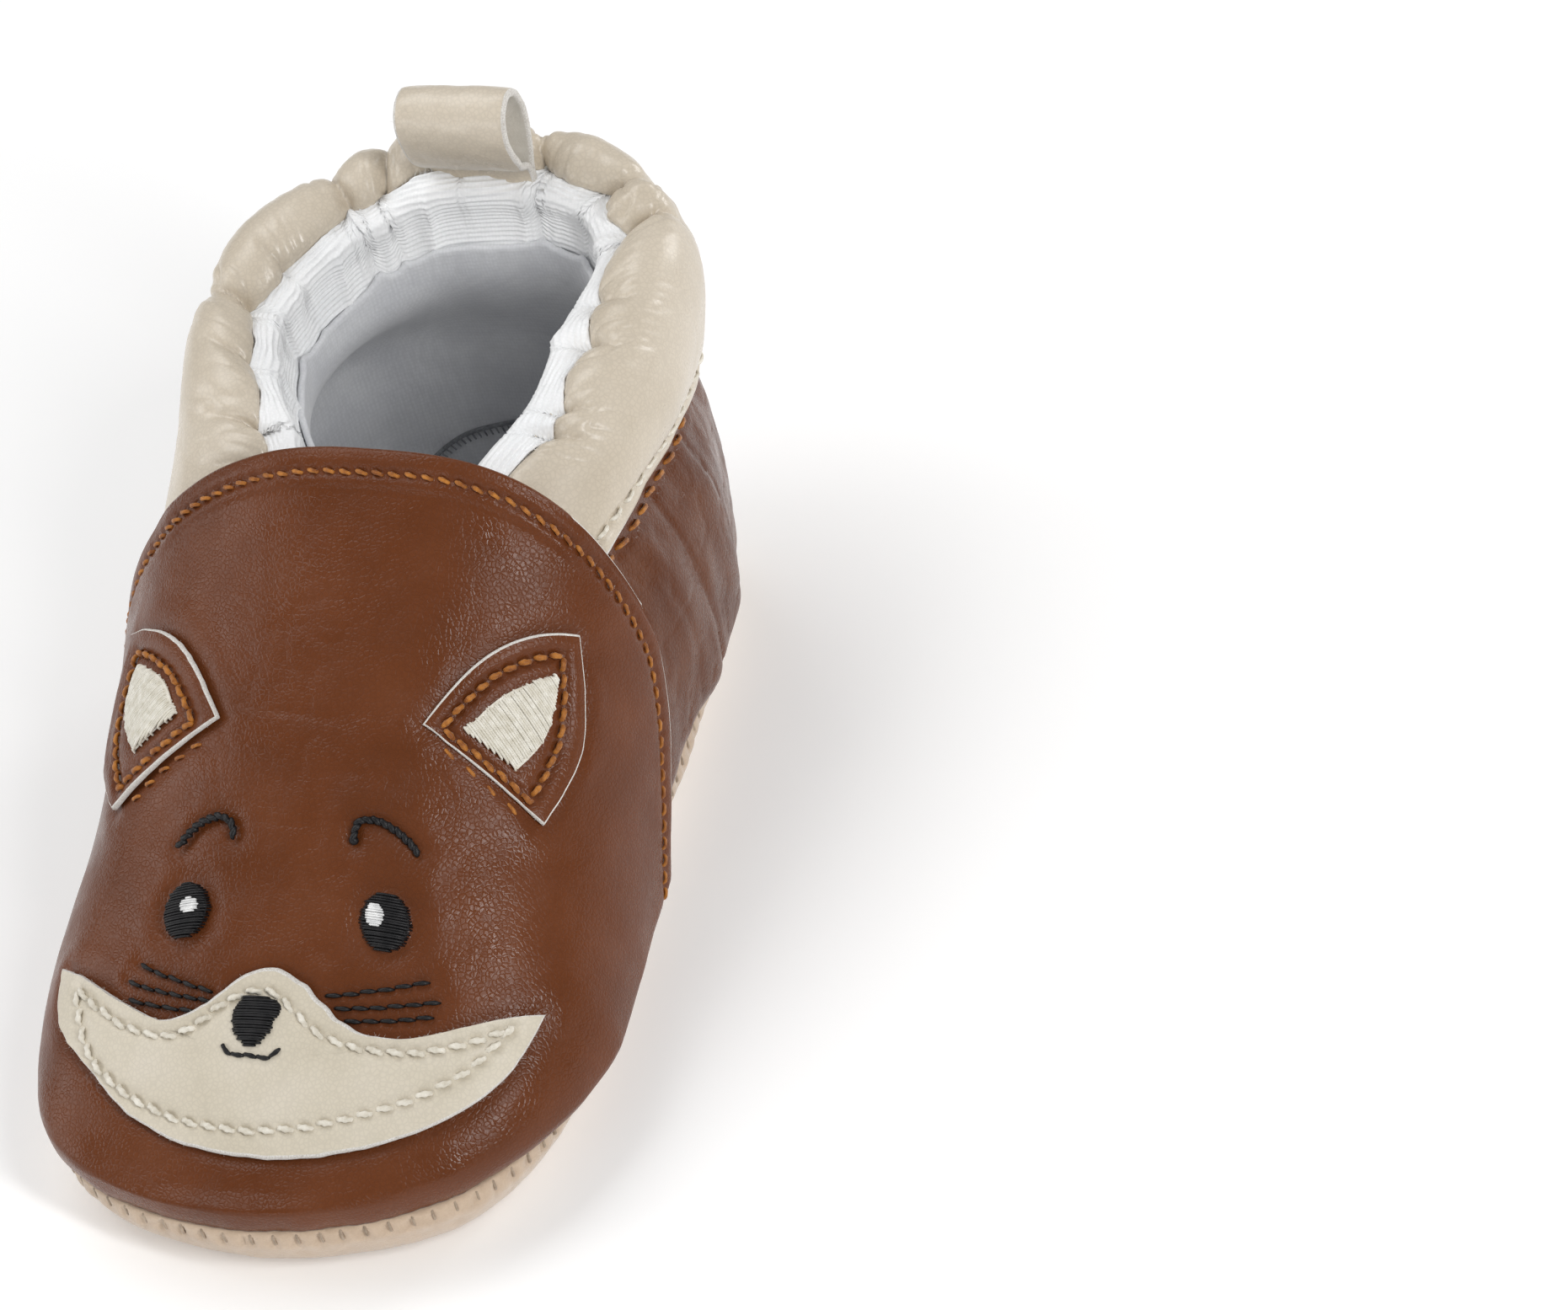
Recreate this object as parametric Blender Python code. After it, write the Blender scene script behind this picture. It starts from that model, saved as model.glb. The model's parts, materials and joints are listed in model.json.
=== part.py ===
"""A soft-soled baby bootie for the left foot, with a fox face sewn on its front panel.

Frame: the toe points along -Y, the outer side of the foot is +X, and the sole stands on z = 0.
Lengths below are millimetres. The meshes are made in metres.
"""

import math

import bmesh
import bpy
import numpy as np

MM = 0.001
GAP = 0.3

# Driving dimensions
SOLE_LENGTH = 122.0
HEEL_Y = 61.5
TOE_Y = HEEL_Y - SOLE_LENGTH
SEAM_Z = 6.0
LEATHER = 1.0
LINING = 0.8
SUEDE = 1.4
INSOLE_Z = 4.0

# The sole seam seen from above, from the toe along the outer side to the heel and back.
OUTER_SIDE = ((10.8, -58.2), (21.2, -52.8), (27, -43.5), (29.1, -30), (28.2, -13), (27, 6), (26.4, 25),
              (25, 43), (20.4, 55.5), (11, 60.6))
INNER_SIDE = ((-11.5, 60.6), (-21.5, 55), (-26.5, 43), (-28.6, 25), (-30.6, 6), (-32.4, -13),
              (-33.1, -29), (-31, -43.5), (-24.2, -54), (-13, -59.2))
SOLE_SEAM = ((-1, TOE_Y),) + OUTER_SIDE + ((0, HEEL_Y),) + INNER_SIDE

# The front panel rises as a straight ramp from the toe to an arch over the instep.
ARCH_Y = 9.8
RAMP_Z = 54.0
RAMP_SLOPE = 0.70
TOE_ROUND = 13.0
TOE_SPRING = 2.4
WIDEST_RISE = 4.0
OUTER_SPREAD = 2.8
INNER_SPREAD = 6.0
OUTER_FULLNESS = 1.15
INNER_FULLNESS = 0.15
# How far the upper stands out over the sole seam on the outer side, at places along the foot.
OVERHANG = ((-53, 0), (-43.5, 1.4), (-30, 2.7), (25, 2.8), (43, 2), (55.5, 0.6), (62, 0))
FRONT_BULGE = ((-55, 0), (-45, 0.9), (-32, 1.9), (-18, 1.8), (0, 0.4), (10, 0))
UNDERCUT = ((-58, 22), (-50, 11.5), (-42, 8.2), (-30, 7.2), (-10, 6.2), (10, 5.8))
UNDERCUT_INNER = 22
OVERHANG_SHARE = 0.2
ARCH_SHIFT = 1.6
SIDE_SEAM_BEND = 15.5
SIDE_SEAM_TOP = 32.0
SIDE_SEAM_BASE = ARCH_Y - SIDE_SEAM_BEND
VAMP_CORNER_Z = 30.0
VAMP_CENTRE = np.array((0.0, 9.8, 8.0))
FOOT_CENTRE = np.array((0.0, 10.0, 0.0))

# The heel panel's wall leaves the sole seam and leans in towards the collar.
COLLAR_EDGE_Z = 38.5
COLLAR_RISE = 0.07
WALL_TOP_Z = 41.0
OVERLAP = 8.0
LINING_PULL = 9.4
WALL_BULGE = ((-14, 1.0), (9, 2.2), (20, 3.4), (37, 2.6), (48, 1.4), (62, 1.6))
OUTER_RISE = ((-14, 9.2), (9, 8.8), (20, 5.8), (32, 2.6), (44, 0), (62, 0))
RISE_LEAN = 0.28
# How far the wall and the collar stay below the front panel that covers them.
WALL_COVER = 1.7
WALL_COVER_TOP = 3.9
WALL_COVER_FROM_Z = 28.0
WALL_COVER_SPAN = 8.0
COLLAR_COVER = 1.5
WALL_LEAN = ((-14, 1.0), (9, -1.6), (25, -2.6), (36, -1.6), (46, -0.4), (62, -1.2))

# The collar's rings, from under the front panel on the outer side round the heel to the inner side.
LIP = ((10.5, 2, 48.5), (13.6, 14, 52.6), (17.4, 23, 54), (18.4, 33, 55), (19.2, 42, 56), (19.6, 49.5, 57.3),
       (14, 57, 58.8), (4.5, 58.8, 59.5), (-4.5, 57.6, 59.3), (-11, 53.6, 58.3), (-16.6, 47.5, 57),
       (-19.8, 38, 55.5), (-18, 28.5, 54), (-12.8, 19.5, 52.4), (-8.8, 2, 48))
CREST = ((18, 2, 49), (20.4, 13, 53.4), (23.8, 24, 56.4), (25.6, 35, 58), (26.2, 45, 58.8), (24, 54, 59.8),
         (15, 61, 60.6), (4, 62.6, 61), (-6, 61.2, 60.6), (-14, 56.6, 59.6), (-21.2, 49, 58.4),
         (-25.4, 39.4, 57.2), (-24, 29, 55.6), (-20.4, 16, 52.2), (-17.4, 2, 46))
BELLY = ((24.6, 2, 46), (26.4, 13, 49.2), (29.2, 24, 50.2), (30.6, 35, 50), (30.2, 45, 51), (27, 56, 52.6),
         (16.5, 63.6, 54), (3, 65.4, 54), (-10, 63.6, 53), (-20.4, 57.4, 52), (-27.4, 48, 50.6),
         (-29.8, 38, 49.4), (-28.8, 27, 48), (-27, 14, 45.2), (-25, 2, 41))

# The sole is a dish of suede that curves up to its seam.
EDGE_STEPS = 4
BOTTOM_INSET = ((-62, 5.6), (-45, 5.0), (-25, 3.6), (40, 3.4), (62, 4.4))

# The collar turns in at its lip, over the elastic and the ribbed band.
FLAP_DEPTH = 6.5
FLAP_LEAN = 0.6
ELASTIC_WIDTH = 5.0
ELASTIC_THICKNESS = 1.0
PADDING_BOW = 0.25
RIB_CLEAR = 0.6
RIB_LIFT = 1.2
HEEL_SEAM_DROP = 2.6
COLUMNS = 33

# How deep the sewn-on pieces are.
PATCH = 0.8
EMBROIDERY = 0.5
THREAD = 0.35

# The pull loop turns about the line where its two ends are sewn down.
LOOP_WIDTH = 13.0
LOOP_HINGE = (1.8, 58.2, 60.6)
LOOP_OUTLINE = ((0.95, 0), (1.2, 2), (1.9, 4.6), (1.9, 7.5), (0.8, 10.2), (-1.6, 11.8), (-4.2, 11), (-5.6, 8.3),
                (-5.2, 4.8), (-3.2, 1.7), (-0.95, 0))

# Outlines of the sewn pieces, seen from above.
MUZZLE = ((-1.2, -38.4), (-6.8, -41.2), (-11.8, -43.1), (-19.3, -40.7), (-28.1, -35.4), (-27.4, -40.3),
          (-22.1, -46.8), (-14.7, -52), (-3.4, -54.6), (8.8, -53.6), (19.1, -49.5), (25.6, -43),
          (28.4, -35.5), (22.5, -39.1), (13.8, -42.8), (7.6, -42.2), (2.1, -38.9))
MUZZLE_CORNERS = (4, 12)
MUZZLE_CENTRE = (-0.5, -46.5)
MUZZLE_SEAM = ((-25, -38.6), (-17.1, -43.6), (-10.2, -44.2), (-4.6, -41), (0.1, -40.3), (4.6, -42.9),
               (10.6, -44.2), (20.2, -42.1), (25.8, -38.1), (21.7, -44.1), (14.8, -48.8), (6.3, -51.6),
               (-6.5, -52.5), (-15.4, -50.3), (-22.4, -45))
MUZZLE_SEAM_CORNERS = (0, 8)
EAR_OUTER = ((13.2, -13.6), (25.5, -17.3), (27.7, -8), (26.7, 0.9), (18.9, -5.8))
EAR_INNER = ((-11.3, -14.6), (-25.2, -19.2), (-29.6, -9), (-27.2, -0.1), (-17.5, -6.6))
EAR_CORNERS = (0, 1, 3)
EAR_FILL_OUTER = ((17.6, -12.6), (22.6, -13.9), (24.7, -9.4), (24.9, -4.4), (20.5, -8.6))
EAR_FILL_INNER = ((-17.2, -13), (-22.8, -14.6), (-25.2, -9), (-24, -5.7), (-18.8, -10))
EAR_SEAM_OUTER = ((15.1, -13.5), (24.1, -16.1), (26, -8.4), (25.5, -1.7), (19.1, -7.8))
EAR_SEAM_INNER = ((-14.3, -14.5), (-24.6, -17.6), (-27.1, -9), (-25.4, -3.2), (-18, -9.4))
EYES = ((11.5, -32.3, 2.8, 2.7), (-12.4, -32.7, 2.8, 2.6))
EYE_LIGHTS = ((10.4, -31.9, 1.0, 1.05), (-11.6, -32.3, 1.05, 0.7))
BROWS = (((6.9, -25.6), (7.1, -24), (10.1, -23.4), (14.2, -25.3)),
         ((-7.3, -26.1), (-7.9, -24.7), (-11, -24.2), (-14.5, -26.4)))
NOSE = ((-3.5, -41.1), (-0.8, -40.7), (1.3, -41.4), (0.6, -43.6), (-1.9, -45.3), (-4.4, -42.6))
MOUTH = ((-5.1, -45.3), (-4.2, -46), (-1.9, -46.1), (0.9, -46), (1.7, -45.2))
WHISKERS = (((5.7, -40), (17.1, -36.6)), ((6.9, -41), (18.5, -38.1)), ((8.2, -42), (18, -39.7)),
            ((-7.7, -40.4), (-17.5, -37.3)), ((-7.6, -41.3), (-18.8, -38.8)), ((-9.4, -42.2), (-18.5, -40.6)))

LEATHER_BROWN = (0.165, 0.052, 0.022)
LEATHER_BEIGE = (0.60, 0.54, 0.44)
SUEDE_BEIGE = (0.56, 0.45, 0.34)
RIB_WHITE = (0.80, 0.81, 0.84)
LINING_GREY = (0.42, 0.43, 0.47)
FOAM_WHITE = (0.85, 0.84, 0.80)
ELASTIC_WHITE = (0.88, 0.88, 0.86)
THREAD_ORANGE = (0.42, 0.16, 0.02)
THREAD_CREAM = (0.72, 0.66, 0.52)
THREAD_BLACK = (0.012, 0.012, 0.014)
THREAD_WHITE = (0.90, 0.90, 0.88)


class Curve:
    """A smooth curve through its points, read at t from 0 to 1 by length."""

    def __init__(self, points, closed=False):
        points = np.array(points, float)
        if closed:
            points = np.vstack([points, points[:1]])
        step = np.linalg.norm(np.diff(points, axis=0), axis=1)
        count = len(points)
        matrix = np.eye(count)
        right = np.zeros_like(points)
        slope = np.diff(points, axis=0) / step[:, None]
        for i in range(1, count - 1):
            matrix[i, i - 1:i + 2] = step[i - 1], 2 * (step[i - 1] + step[i]), step[i]
            right[i] = 6 * (slope[i] - slope[i - 1])
        if closed:
            matrix[0, -1] = -1
            matrix[-1, :2] = 2 * step[0], step[0]
            matrix[-1, -2:] = step[-1], 2 * step[-1]
            right[-1] = 6 * (slope[0] - slope[-1])
        self.points = points
        self.step = step
        self.knots = np.concatenate([[0], np.cumsum(step)])
        self.bend = np.linalg.solve(matrix, right)

    def at(self, t):
        s = np.clip(np.asarray(t, float), 0, 1) * self.knots[-1]
        i = np.clip(np.searchsorted(self.knots, s, "right") - 1, 0, len(self.step) - 1)
        h = self.step[i][..., None]
        u = ((s - self.knots[i])[..., None]) / h
        v = 1 - u
        line = v * self.points[i] + u * self.points[i + 1]
        curl = (v**3 - v) * self.bend[i] + (u**3 - u) * self.bend[i + 1]
        return line + curl * h**2 / 6


SEAM_CURVE = Curve(SOLE_SEAM, closed=True)
SEAM_FINE = SEAM_CURVE.at(np.linspace(0, 1, 1441))
HEEL_INDEX = int(np.argmax(SEAM_FINE[:, 1]))


def resample(line, count):
    """The same polyline with its points at equal distances."""
    step = np.linalg.norm(np.diff(line, axis=0), axis=1)
    length = np.concatenate([[0], np.cumsum(step)])
    at = np.linspace(0, length[-1], count)
    return np.column_stack([np.interp(at, length, line[:, k]) for k in range(line.shape[1])])


def panel_ends(front_y):
    """Where the sole seam passes this y on the outer and the inner side, as places in the seam."""
    outer = int(np.argmin(np.abs(SEAM_FINE[:HEEL_INDEX + 1, 1] - front_y)))
    inner = HEEL_INDEX + int(np.argmin(np.abs(SEAM_FINE[HEEL_INDEX:, 1] - front_y)))
    return outer, inner


def seam_side(y, side):
    """The sole seam's x at this y, on the outer (1) or the inner (-1) side."""
    if side > 0:
        half = SEAM_FINE[:HEEL_INDEX + 1]
    else:
        half = SEAM_FINE[HEEL_INDEX:][::-1]
    return np.interp(y, half[:, 1], half[:, 0])


def smooth_step(x):
    """Grows smoothly from 0 to 1."""
    x = np.clip(x, 0, 1)
    return x * x * (3 - 2 * x)


def seam_z(y):
    """The sole seam is level, and rises a little round the toe."""
    return SEAM_Z + TOE_SPRING * smooth_step((-34 - y) / 24)


def widest_z(y):
    """The height at which the upper is widest."""
    return seam_z(y) + WIDEST_RISE


def along_foot(table, y):
    """Reads a table of (y, value)."""
    return np.interp(y, *np.array(table).T)


def ramp(y):
    """Height of the front panel's centre line."""
    flat = RAMP_Z + RAMP_SLOPE * y
    start = TOE_Y + TOE_ROUND
    back = np.clip((start - y) / (TOE_ROUND + 0.6), 0, 1)
    low = widest_z(y)
    return np.where(y < start, low + (flat - low) * np.sqrt(1 - back**2), flat)


def arch_share(y):
    """0 over the toes, growing to 1 at the arch."""
    return np.clip((y + 22) / 32, 0, 1)**1.5


def section(x, y):
    """The middle, half width and roundness of the front panel's section, on the side of x."""
    share = arch_share(y)
    side = seam_side(y, 1) + along_foot(OVERHANG, y)
    outer = side + 0.5 + along_foot(FRONT_BULGE, y) + OUTER_SPREAD * share
    inner = seam_side(y, -1) - 1.1 - INNER_SPREAD * share
    middle = (side + seam_side(y, -1)) / 2 * (1 - share) + ARCH_SHIFT * share
    half = np.maximum(np.where(x > middle, outer - middle, middle - inner), 0.01)
    return middle, half, 2 + np.where(x > middle, OUTER_FULLNESS, INNER_FULLNESS) * share


def inside_vamp(p):
    """Below 1 inside the front panel's outer surface."""
    x, y, z = p[..., 0], p[..., 1], p[..., 2]
    middle, half, power = section(x, y)
    low = widest_z(y)
    high = np.maximum(ramp(y) - low, 0.01)
    under = np.where(x > middle, along_foot(UNDERCUT, y), UNDERCUT_INNER)
    tall = np.where(z > low, (z - low) / high, (low - z) / under)
    value = np.abs((x - middle) / half)**power + np.abs(tall)**power
    return np.where(y < TOE_Y - 0.5, 9.0, value)


def onto_vamp(p):
    """Moves points along lines from the centre of the panel until they lie on its surface."""
    way = p - VAMP_CENTRE
    way = way / np.linalg.norm(way, axis=-1, keepdims=True)
    low = np.zeros(p.shape[:-1])
    high = np.full(p.shape[:-1], 120.0)
    for _ in range(40):
        middle = (low + high) / 2
        inside = inside_vamp(VAMP_CENTRE + way * middle[..., None]) < 1
        low = np.where(inside, middle, low)
        high = np.where(inside, high, middle)
    return VAMP_CENTRE + way * low[..., None]


def vamp_height(x, y):
    """Height of the front panel's surface over a point of the floor."""
    middle, half, power = section(x, y)
    share = np.clip(1 - np.abs((x - middle) / half)**power, 0, 1)**(1 / power)
    return widest_z(y) + (ramp(y) - widest_z(y)) * share


def arch_line(y, angles):
    """Points of the front panel at these angles round its section at y, 0 on the outer side."""
    side = np.cos(angles)
    middle, half, power = section(np.where(side > 0, 99.0, -99.0), y)
    x = middle + half * np.sign(side) * np.abs(side)**(2 / power)
    z = widest_z(y) + (ramp(y) - widest_z(y)) * np.sin(angles)**(2 / power)
    return np.column_stack([x, np.broadcast_to(y, x.shape), z])


def side_seam_y(z):
    """Where the front panel's edge lies at each height."""
    down = np.clip((SIDE_SEAM_TOP - z) / (SIDE_SEAM_TOP - SEAM_Z), 0, 1)
    return ARCH_Y - SIDE_SEAM_BEND * down**1.7


def front_panel(columns, rows, pull=0.0):
    """The front panel's outer surface, from the outer side seam round the toe to the inner one.

    pull moves its edges forwards from the real ones."""
    base = SIDE_SEAM_BASE - pull
    outer, inner = panel_ends(base)
    way_round = np.vstack([SEAM_FINE[outer::-1], SEAM_FINE[-2:inner - 1:-1]])
    plan = resample(way_round, columns)
    bottom = onto_vamp(np.column_stack([plan, seam_z(plan[:, 1]) + GAP]))
    z = np.linspace(SEAM_Z + GAP, VAMP_CORNER_Z, 61)
    side_y = side_seam_y(z) - pull
    left = onto_vamp(np.column_stack([seam_side(side_y, 1), side_y, z]))
    right = onto_vamp(np.column_stack([seam_side(side_y, -1), side_y, z]))
    turn = math.asin((VAMP_CORNER_Z - SEAM_Z - WIDEST_RISE) / (RAMP_Z - SEAM_Z))
    angles = np.linspace(turn, math.pi - turn, 241)
    top = resample(arch_line(ARCH_Y - pull, angles), columns)
    left[0], right[0] = bottom[0], bottom[-1]
    left[-1], right[-1] = top[0], top[-1]
    u = np.linspace(0, 1, columns)[:, None, None]
    v = np.linspace(0, 1, 61)[None, :, None]
    across = (1 - v) * bottom[:, None] + v * top[:, None]
    along = (1 - u) * left[None] + u * right[None]
    corners = (1 - u) * ((1 - v) * left[0] + v * left[-1]) + u * ((1 - v) * right[0] + v * right[-1])
    grid = onto_vamp(across + along - corners)
    grid[:, -1] = top
    return np.array([resample(line, rows) for line in grid])


def outward(plan):
    """Unit vectors out of an outline that runs from the outer side round the heel."""
    way = np.gradient(plan, axis=0)
    return np.column_stack([way[:, 1], -way[:, 0]]) / np.linalg.norm(way, axis=1, keepdims=True)


def outer_rise(plan):
    """How much higher the heel panel reaches on the outer side of the foot."""
    return np.where(plan[:, 0] > 0, along_foot(OUTER_RISE, plan[:, 1]), 0.0)


def wall_top(y):
    """Height of the heel panel's upper edge on the inner side."""
    return WALL_TOP_Z + COLLAR_RISE * (y - 20)


def duck(points, depth):
    """Draws points in under the front panel, deep where it covers them and less behind its edge."""
    way = points - VAMP_CENTRE
    reach = np.linalg.norm(way, axis=-1, keepdims=True)
    cover = np.linalg.norm(onto_vamp(points) - VAMP_CENTRE, axis=-1, keepdims=True)
    edge = side_seam_y(points[..., 2:]) + 1
    free = np.maximum(points[..., 1:2] - edge, 0)
    return VAMP_CENTRE + way / reach * np.minimum(reach, cover - depth + free * 0.8)


def heel_wall(columns, heights):
    """The heel panel's outer surface at these shares of its height, round the heel."""
    rows = []
    for h in heights:
        front = side_seam_y(SEAM_Z + GAP + h * (wall_top(0) - SEAM_Z)) - OVERLAP
        outer, inner = panel_ends(front)
        plan = resample(SEAM_FINE[outer:inner + 1], columns)
        bulge = along_foot(WALL_BULGE, plan[:, 1])
        rise = outer_rise(plan)
        lean = along_foot(WALL_LEAN, plan[:, 1]) - RISE_LEAN * rise
        hang = np.where(plan[:, 0] > 0, along_foot(OVERHANG, plan[:, 1]), 0.0)
        offset = 4 * h * (1 - h) * bulge + h**2 * lean + hang * smooth_step(h / OVERHANG_SHARE)
        z = SEAM_Z + GAP + h * (wall_top(plan[:, 1]) + rise - SEAM_Z)
        row = np.column_stack([plan + outward(plan) * offset[:, None], z])
        high = smooth_step((z[:, None] - WALL_COVER_FROM_Z) / WALL_COVER_SPAN)
        rows.append(duck(row, WALL_COVER + (WALL_COVER_TOP - WALL_COVER) * high))
    return np.array(rows).transpose(1, 0, 2)


def clear_scene():
    for thing in list(bpy.data.objects):
        bpy.data.objects.remove(thing, do_unlink=True)


def finish(name, colour, roughness):
    """A material of one colour."""
    material = bpy.data.materials.new(name)
    material.use_nodes = True
    shader = material.node_tree.nodes["Principled BSDF"]
    shader.inputs["Base Color"].default_value = (*colour, 1)
    shader.inputs["Roughness"].default_value = roughness
    shader.inputs["Metallic"].default_value = 0.0
    return material


def make_object(name, points, faces, colour, roughness, origin=(0, 0, 0)):
    """A closed mesh from points in millimetres, with its faces turned outwards."""
    mesh = bpy.data.meshes.new(name)
    places = (np.asarray(points, float) - np.array(origin)) * MM
    mesh.from_pydata([tuple(p) for p in places], [], [tuple(int(i) for i in f) for f in faces])
    form = bmesh.new()
    form.from_mesh(mesh)
    bmesh.ops.recalc_face_normals(form, faces=form.faces[:])
    if form.calc_volume(signed=True) < 0:
        bmesh.ops.reverse_faces(form, faces=form.faces[:])
    form.to_mesh(mesh)
    form.free()
    mesh.shade_smooth()
    mesh.set_sharp_from_angle(angle=math.radians(40))
    mesh.materials.append(finish(name, colour, roughness))
    thing = bpy.data.objects.new(name, mesh)
    thing.location = [c * MM for c in origin]
    bpy.context.collection.objects.link(thing)
    return thing


def normals(grid):
    """Unit normals of a grid of points, turned away from the middle of the foot."""
    normal = np.cross(np.gradient(grid, axis=0), np.gradient(grid, axis=1))
    normal = normal / np.maximum(np.linalg.norm(normal, axis=-1, keepdims=True), 1e-9)
    return normal * np.sign(np.sum(normal * (grid - FOOT_CENTRE)))


def sheet(name, front, back, colour, roughness, closed=False):
    """A closed solid between two grids of points, one in front of the other."""
    columns, rows = front.shape[:2]
    points = np.vstack([front.reshape(-1, 3), back.reshape(-1, 3)])
    half = columns * rows
    faces = []

    def at(i, j):
        return (i % columns) * rows + j

    spans = columns if closed else columns - 1
    for i in range(spans):
        for j in range(rows - 1):
            ring = [at(i, j), at(i + 1, j), at(i + 1, j + 1), at(i, j + 1)]
            faces.append(ring)
            faces.append([half + k for k in reversed(ring)])
        for j in (0, rows - 1):
            faces.append([at(i, j), at(i + 1, j), half + at(i + 1, j), half + at(i, j)])
    if not closed:
        for i in (0, columns - 1):
            for j in range(rows - 1):
                faces.append([at(i, j), at(i, j + 1), half + at(i, j + 1), half + at(i, j)])
    return make_object(name, points, faces, colour, roughness)


def stack(name, rings, colour, roughness):
    """A solid through a list of closed rings of points, with flat ends."""
    count = len(rings[0])
    points = np.vstack(rings)
    faces = [list(range(count)), [(len(rings) - 1) * count + i for i in range(count)]]
    for r in range(len(rings) - 1):
        for i in range(count):
            j = (i + 1) % count
            faces.append([r * count + i, r * count + j, (r + 1) * count + j, (r + 1) * count + i])
    return make_object(name, points, faces, colour, roughness)


def bead(name, path, radius, colour, roughness, closed=False, sides=5):
    """A round thread along a path."""
    path = np.asarray(path, float)
    if closed:
        way = np.roll(path, -1, axis=0) - np.roll(path, 1, axis=0)
    else:
        way = np.gradient(path, axis=0)
    way = way / np.linalg.norm(way, axis=1, keepdims=True)
    up = path - VAMP_CENTRE
    side = np.cross(way, up)
    side = side / np.linalg.norm(side, axis=1, keepdims=True)
    up = np.cross(side, way)
    turn = 2 * math.pi * np.arange(sides) / sides
    rings = path[:, None] + radius * (np.cos(turn)[None, :, None] * side[:, None]
                                      + np.sin(turn)[None, :, None] * up[:, None])
    count = len(path)
    faces = []
    for i in range(count if closed else count - 1):
        for k in range(sides):
            m, n = (i + 1) % count, (k + 1) % sides
            faces.append([i * sides + k, i * sides + n, m * sides + n, m * sides + k])
    if not closed:
        faces.append(list(range(sides)))
        faces.append([(count - 1) * sides + k for k in range(sides)])
    return make_object(name, rings.reshape(-1, 3), faces, colour, roughness)


def cornered(points, corners, count):
    """A closed outline through its points, smooth between the numbered corners."""
    points = list(points)
    if not corners:
        return Curve(points, closed=True).at(np.arange(count) / count)
    turns = list(corners) + [corners[0] + len(points)]
    whole = sum(math.dist(points[i % len(points)], points[(i + 1) % len(points)]) for i in range(len(points)))
    line = []
    for a, b in zip(turns[:-1], turns[1:]):
        part = [points[i % len(points)] for i in range(a, b + 1)]
        length = sum(math.dist(p, q) for p, q in zip(part[:-1], part[1:]))
        steps = max(2, round(count * length / whole))
        line.append(Curve(part).at(np.arange(steps) / steps))
    return np.vstack(line)


def on_vamp(plan):
    """Places seen from above, on the front panel."""
    plan = np.asarray(plan, float)
    return np.column_stack([plan, vamp_height(plan[:, 0], plan[:, 1])])


def vamp_normal(p):
    """The direction out of the front panel at points on it."""
    step = 0.05
    slope = [inside_vamp(p + step * axis) - inside_vamp(p - step * axis) for axis in np.eye(3)]
    slope = np.stack(slope, axis=-1)
    return slope / np.linalg.norm(slope, axis=-1, keepdims=True)


def lifted(p, height):
    return p + vamp_normal(p) * height


def patch(name, outline, centre, low, high, rings, colour, roughness):
    """A flat piece lying on the front panel between two heights above it."""
    outline = on_vamp(outline)
    middle = on_vamp([centre])[0]
    count = len(outline)
    layers = [onto_vamp(middle + (outline - middle) * (k / rings)) for k in range(1, rings + 1)]
    points = np.vstack([middle[None]] + layers)
    half = len(points)
    faces = []
    for i in range(count):
        j = (i + 1) % count
        faces.append([0, 1 + i, 1 + j])
        for k in range(rings - 1):
            a, b = 1 + k * count, 1 + (k + 1) * count
            faces.append([a + i, b + i, b + j, a + j])
    rim = 1 + (rings - 1) * count
    under = [[half + v for v in reversed(face)] for face in faces]
    wall = [[rim + i, half + rim + i, half + rim + (i + 1) % count, rim + (i + 1) % count]
            for i in range(count)]
    both = np.vstack([lifted(points, high), lifted(points, low)])
    return make_object(name, both, faces + under + wall, colour, roughness)


def oval(x, y, wide, tall, count):
    """An ellipse on the slope of the front panel, seen from above."""
    angle = 2 * math.pi * np.arange(count) / count
    return np.column_stack([x + wide * np.cos(angle), y + tall * np.sin(angle)])


def seam_ring(inset, z, count):
    """The sole's outline drawn in by an inset that may vary along it, at a height that may vary too."""
    plan = resample(SEAM_FINE, count + 1)[:-1]
    way = np.roll(plan, -1, axis=0) - np.roll(plan, 1, axis=0)
    out = np.column_stack([way[:, 1], -way[:, 0]]) / np.linalg.norm(way, axis=1, keepdims=True)
    y = plan[:, 1]
    plan = plan - out * np.broadcast_to(inset(y), y.shape)[:, None]
    return np.column_stack([plan, np.broadcast_to(z(y), y.shape)])


def bottom_inset(y):
    """How far the flat bottom of the sole lies inside its seam."""
    return along_foot(BOTTOM_INSET, y)


def make_sole():
    """The suede dish, the foam in it and the insole on top."""
    count = 60

    def wall(depth):
        rings = []
        for step in range(EDGE_STEPS + 1):
            turn = math.pi / 2 * step / EDGE_STEPS
            rings.append(seam_ring(lambda y, c=math.cos(turn): depth + bottom_inset(y) * (1 - c),
                                   lambda y, s=math.sin(turn): depth + (seam_z(y) - depth) * (1 - s), count))
        return rings

    outer = wall(0.0)
    inner = wall(SUEDE)
    inner[0][:, 2] = outer[0][:, 2]
    stack("outsole", outer[::-1] + inner, SUEDE_BEIGE, 0.95)
    stack("midsole_foam", [seam_ring(lambda y: bottom_inset(y) + 2.0, lambda y: SUEDE + GAP, count // 2),
                           seam_ring(lambda y: 0.35 * bottom_inset(y) + 2.2, lambda y: INSOLE_Z, count // 2)],
          FOAM_WHITE, 0.9)
    stack("insole", [seam_ring(lambda y: 3.4, lambda y: INSOLE_Z + GAP, count // 2),
                     seam_ring(lambda y: 3.2, lambda y: SEAM_Z, count // 2)], LINING_GREY, 0.95)


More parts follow.
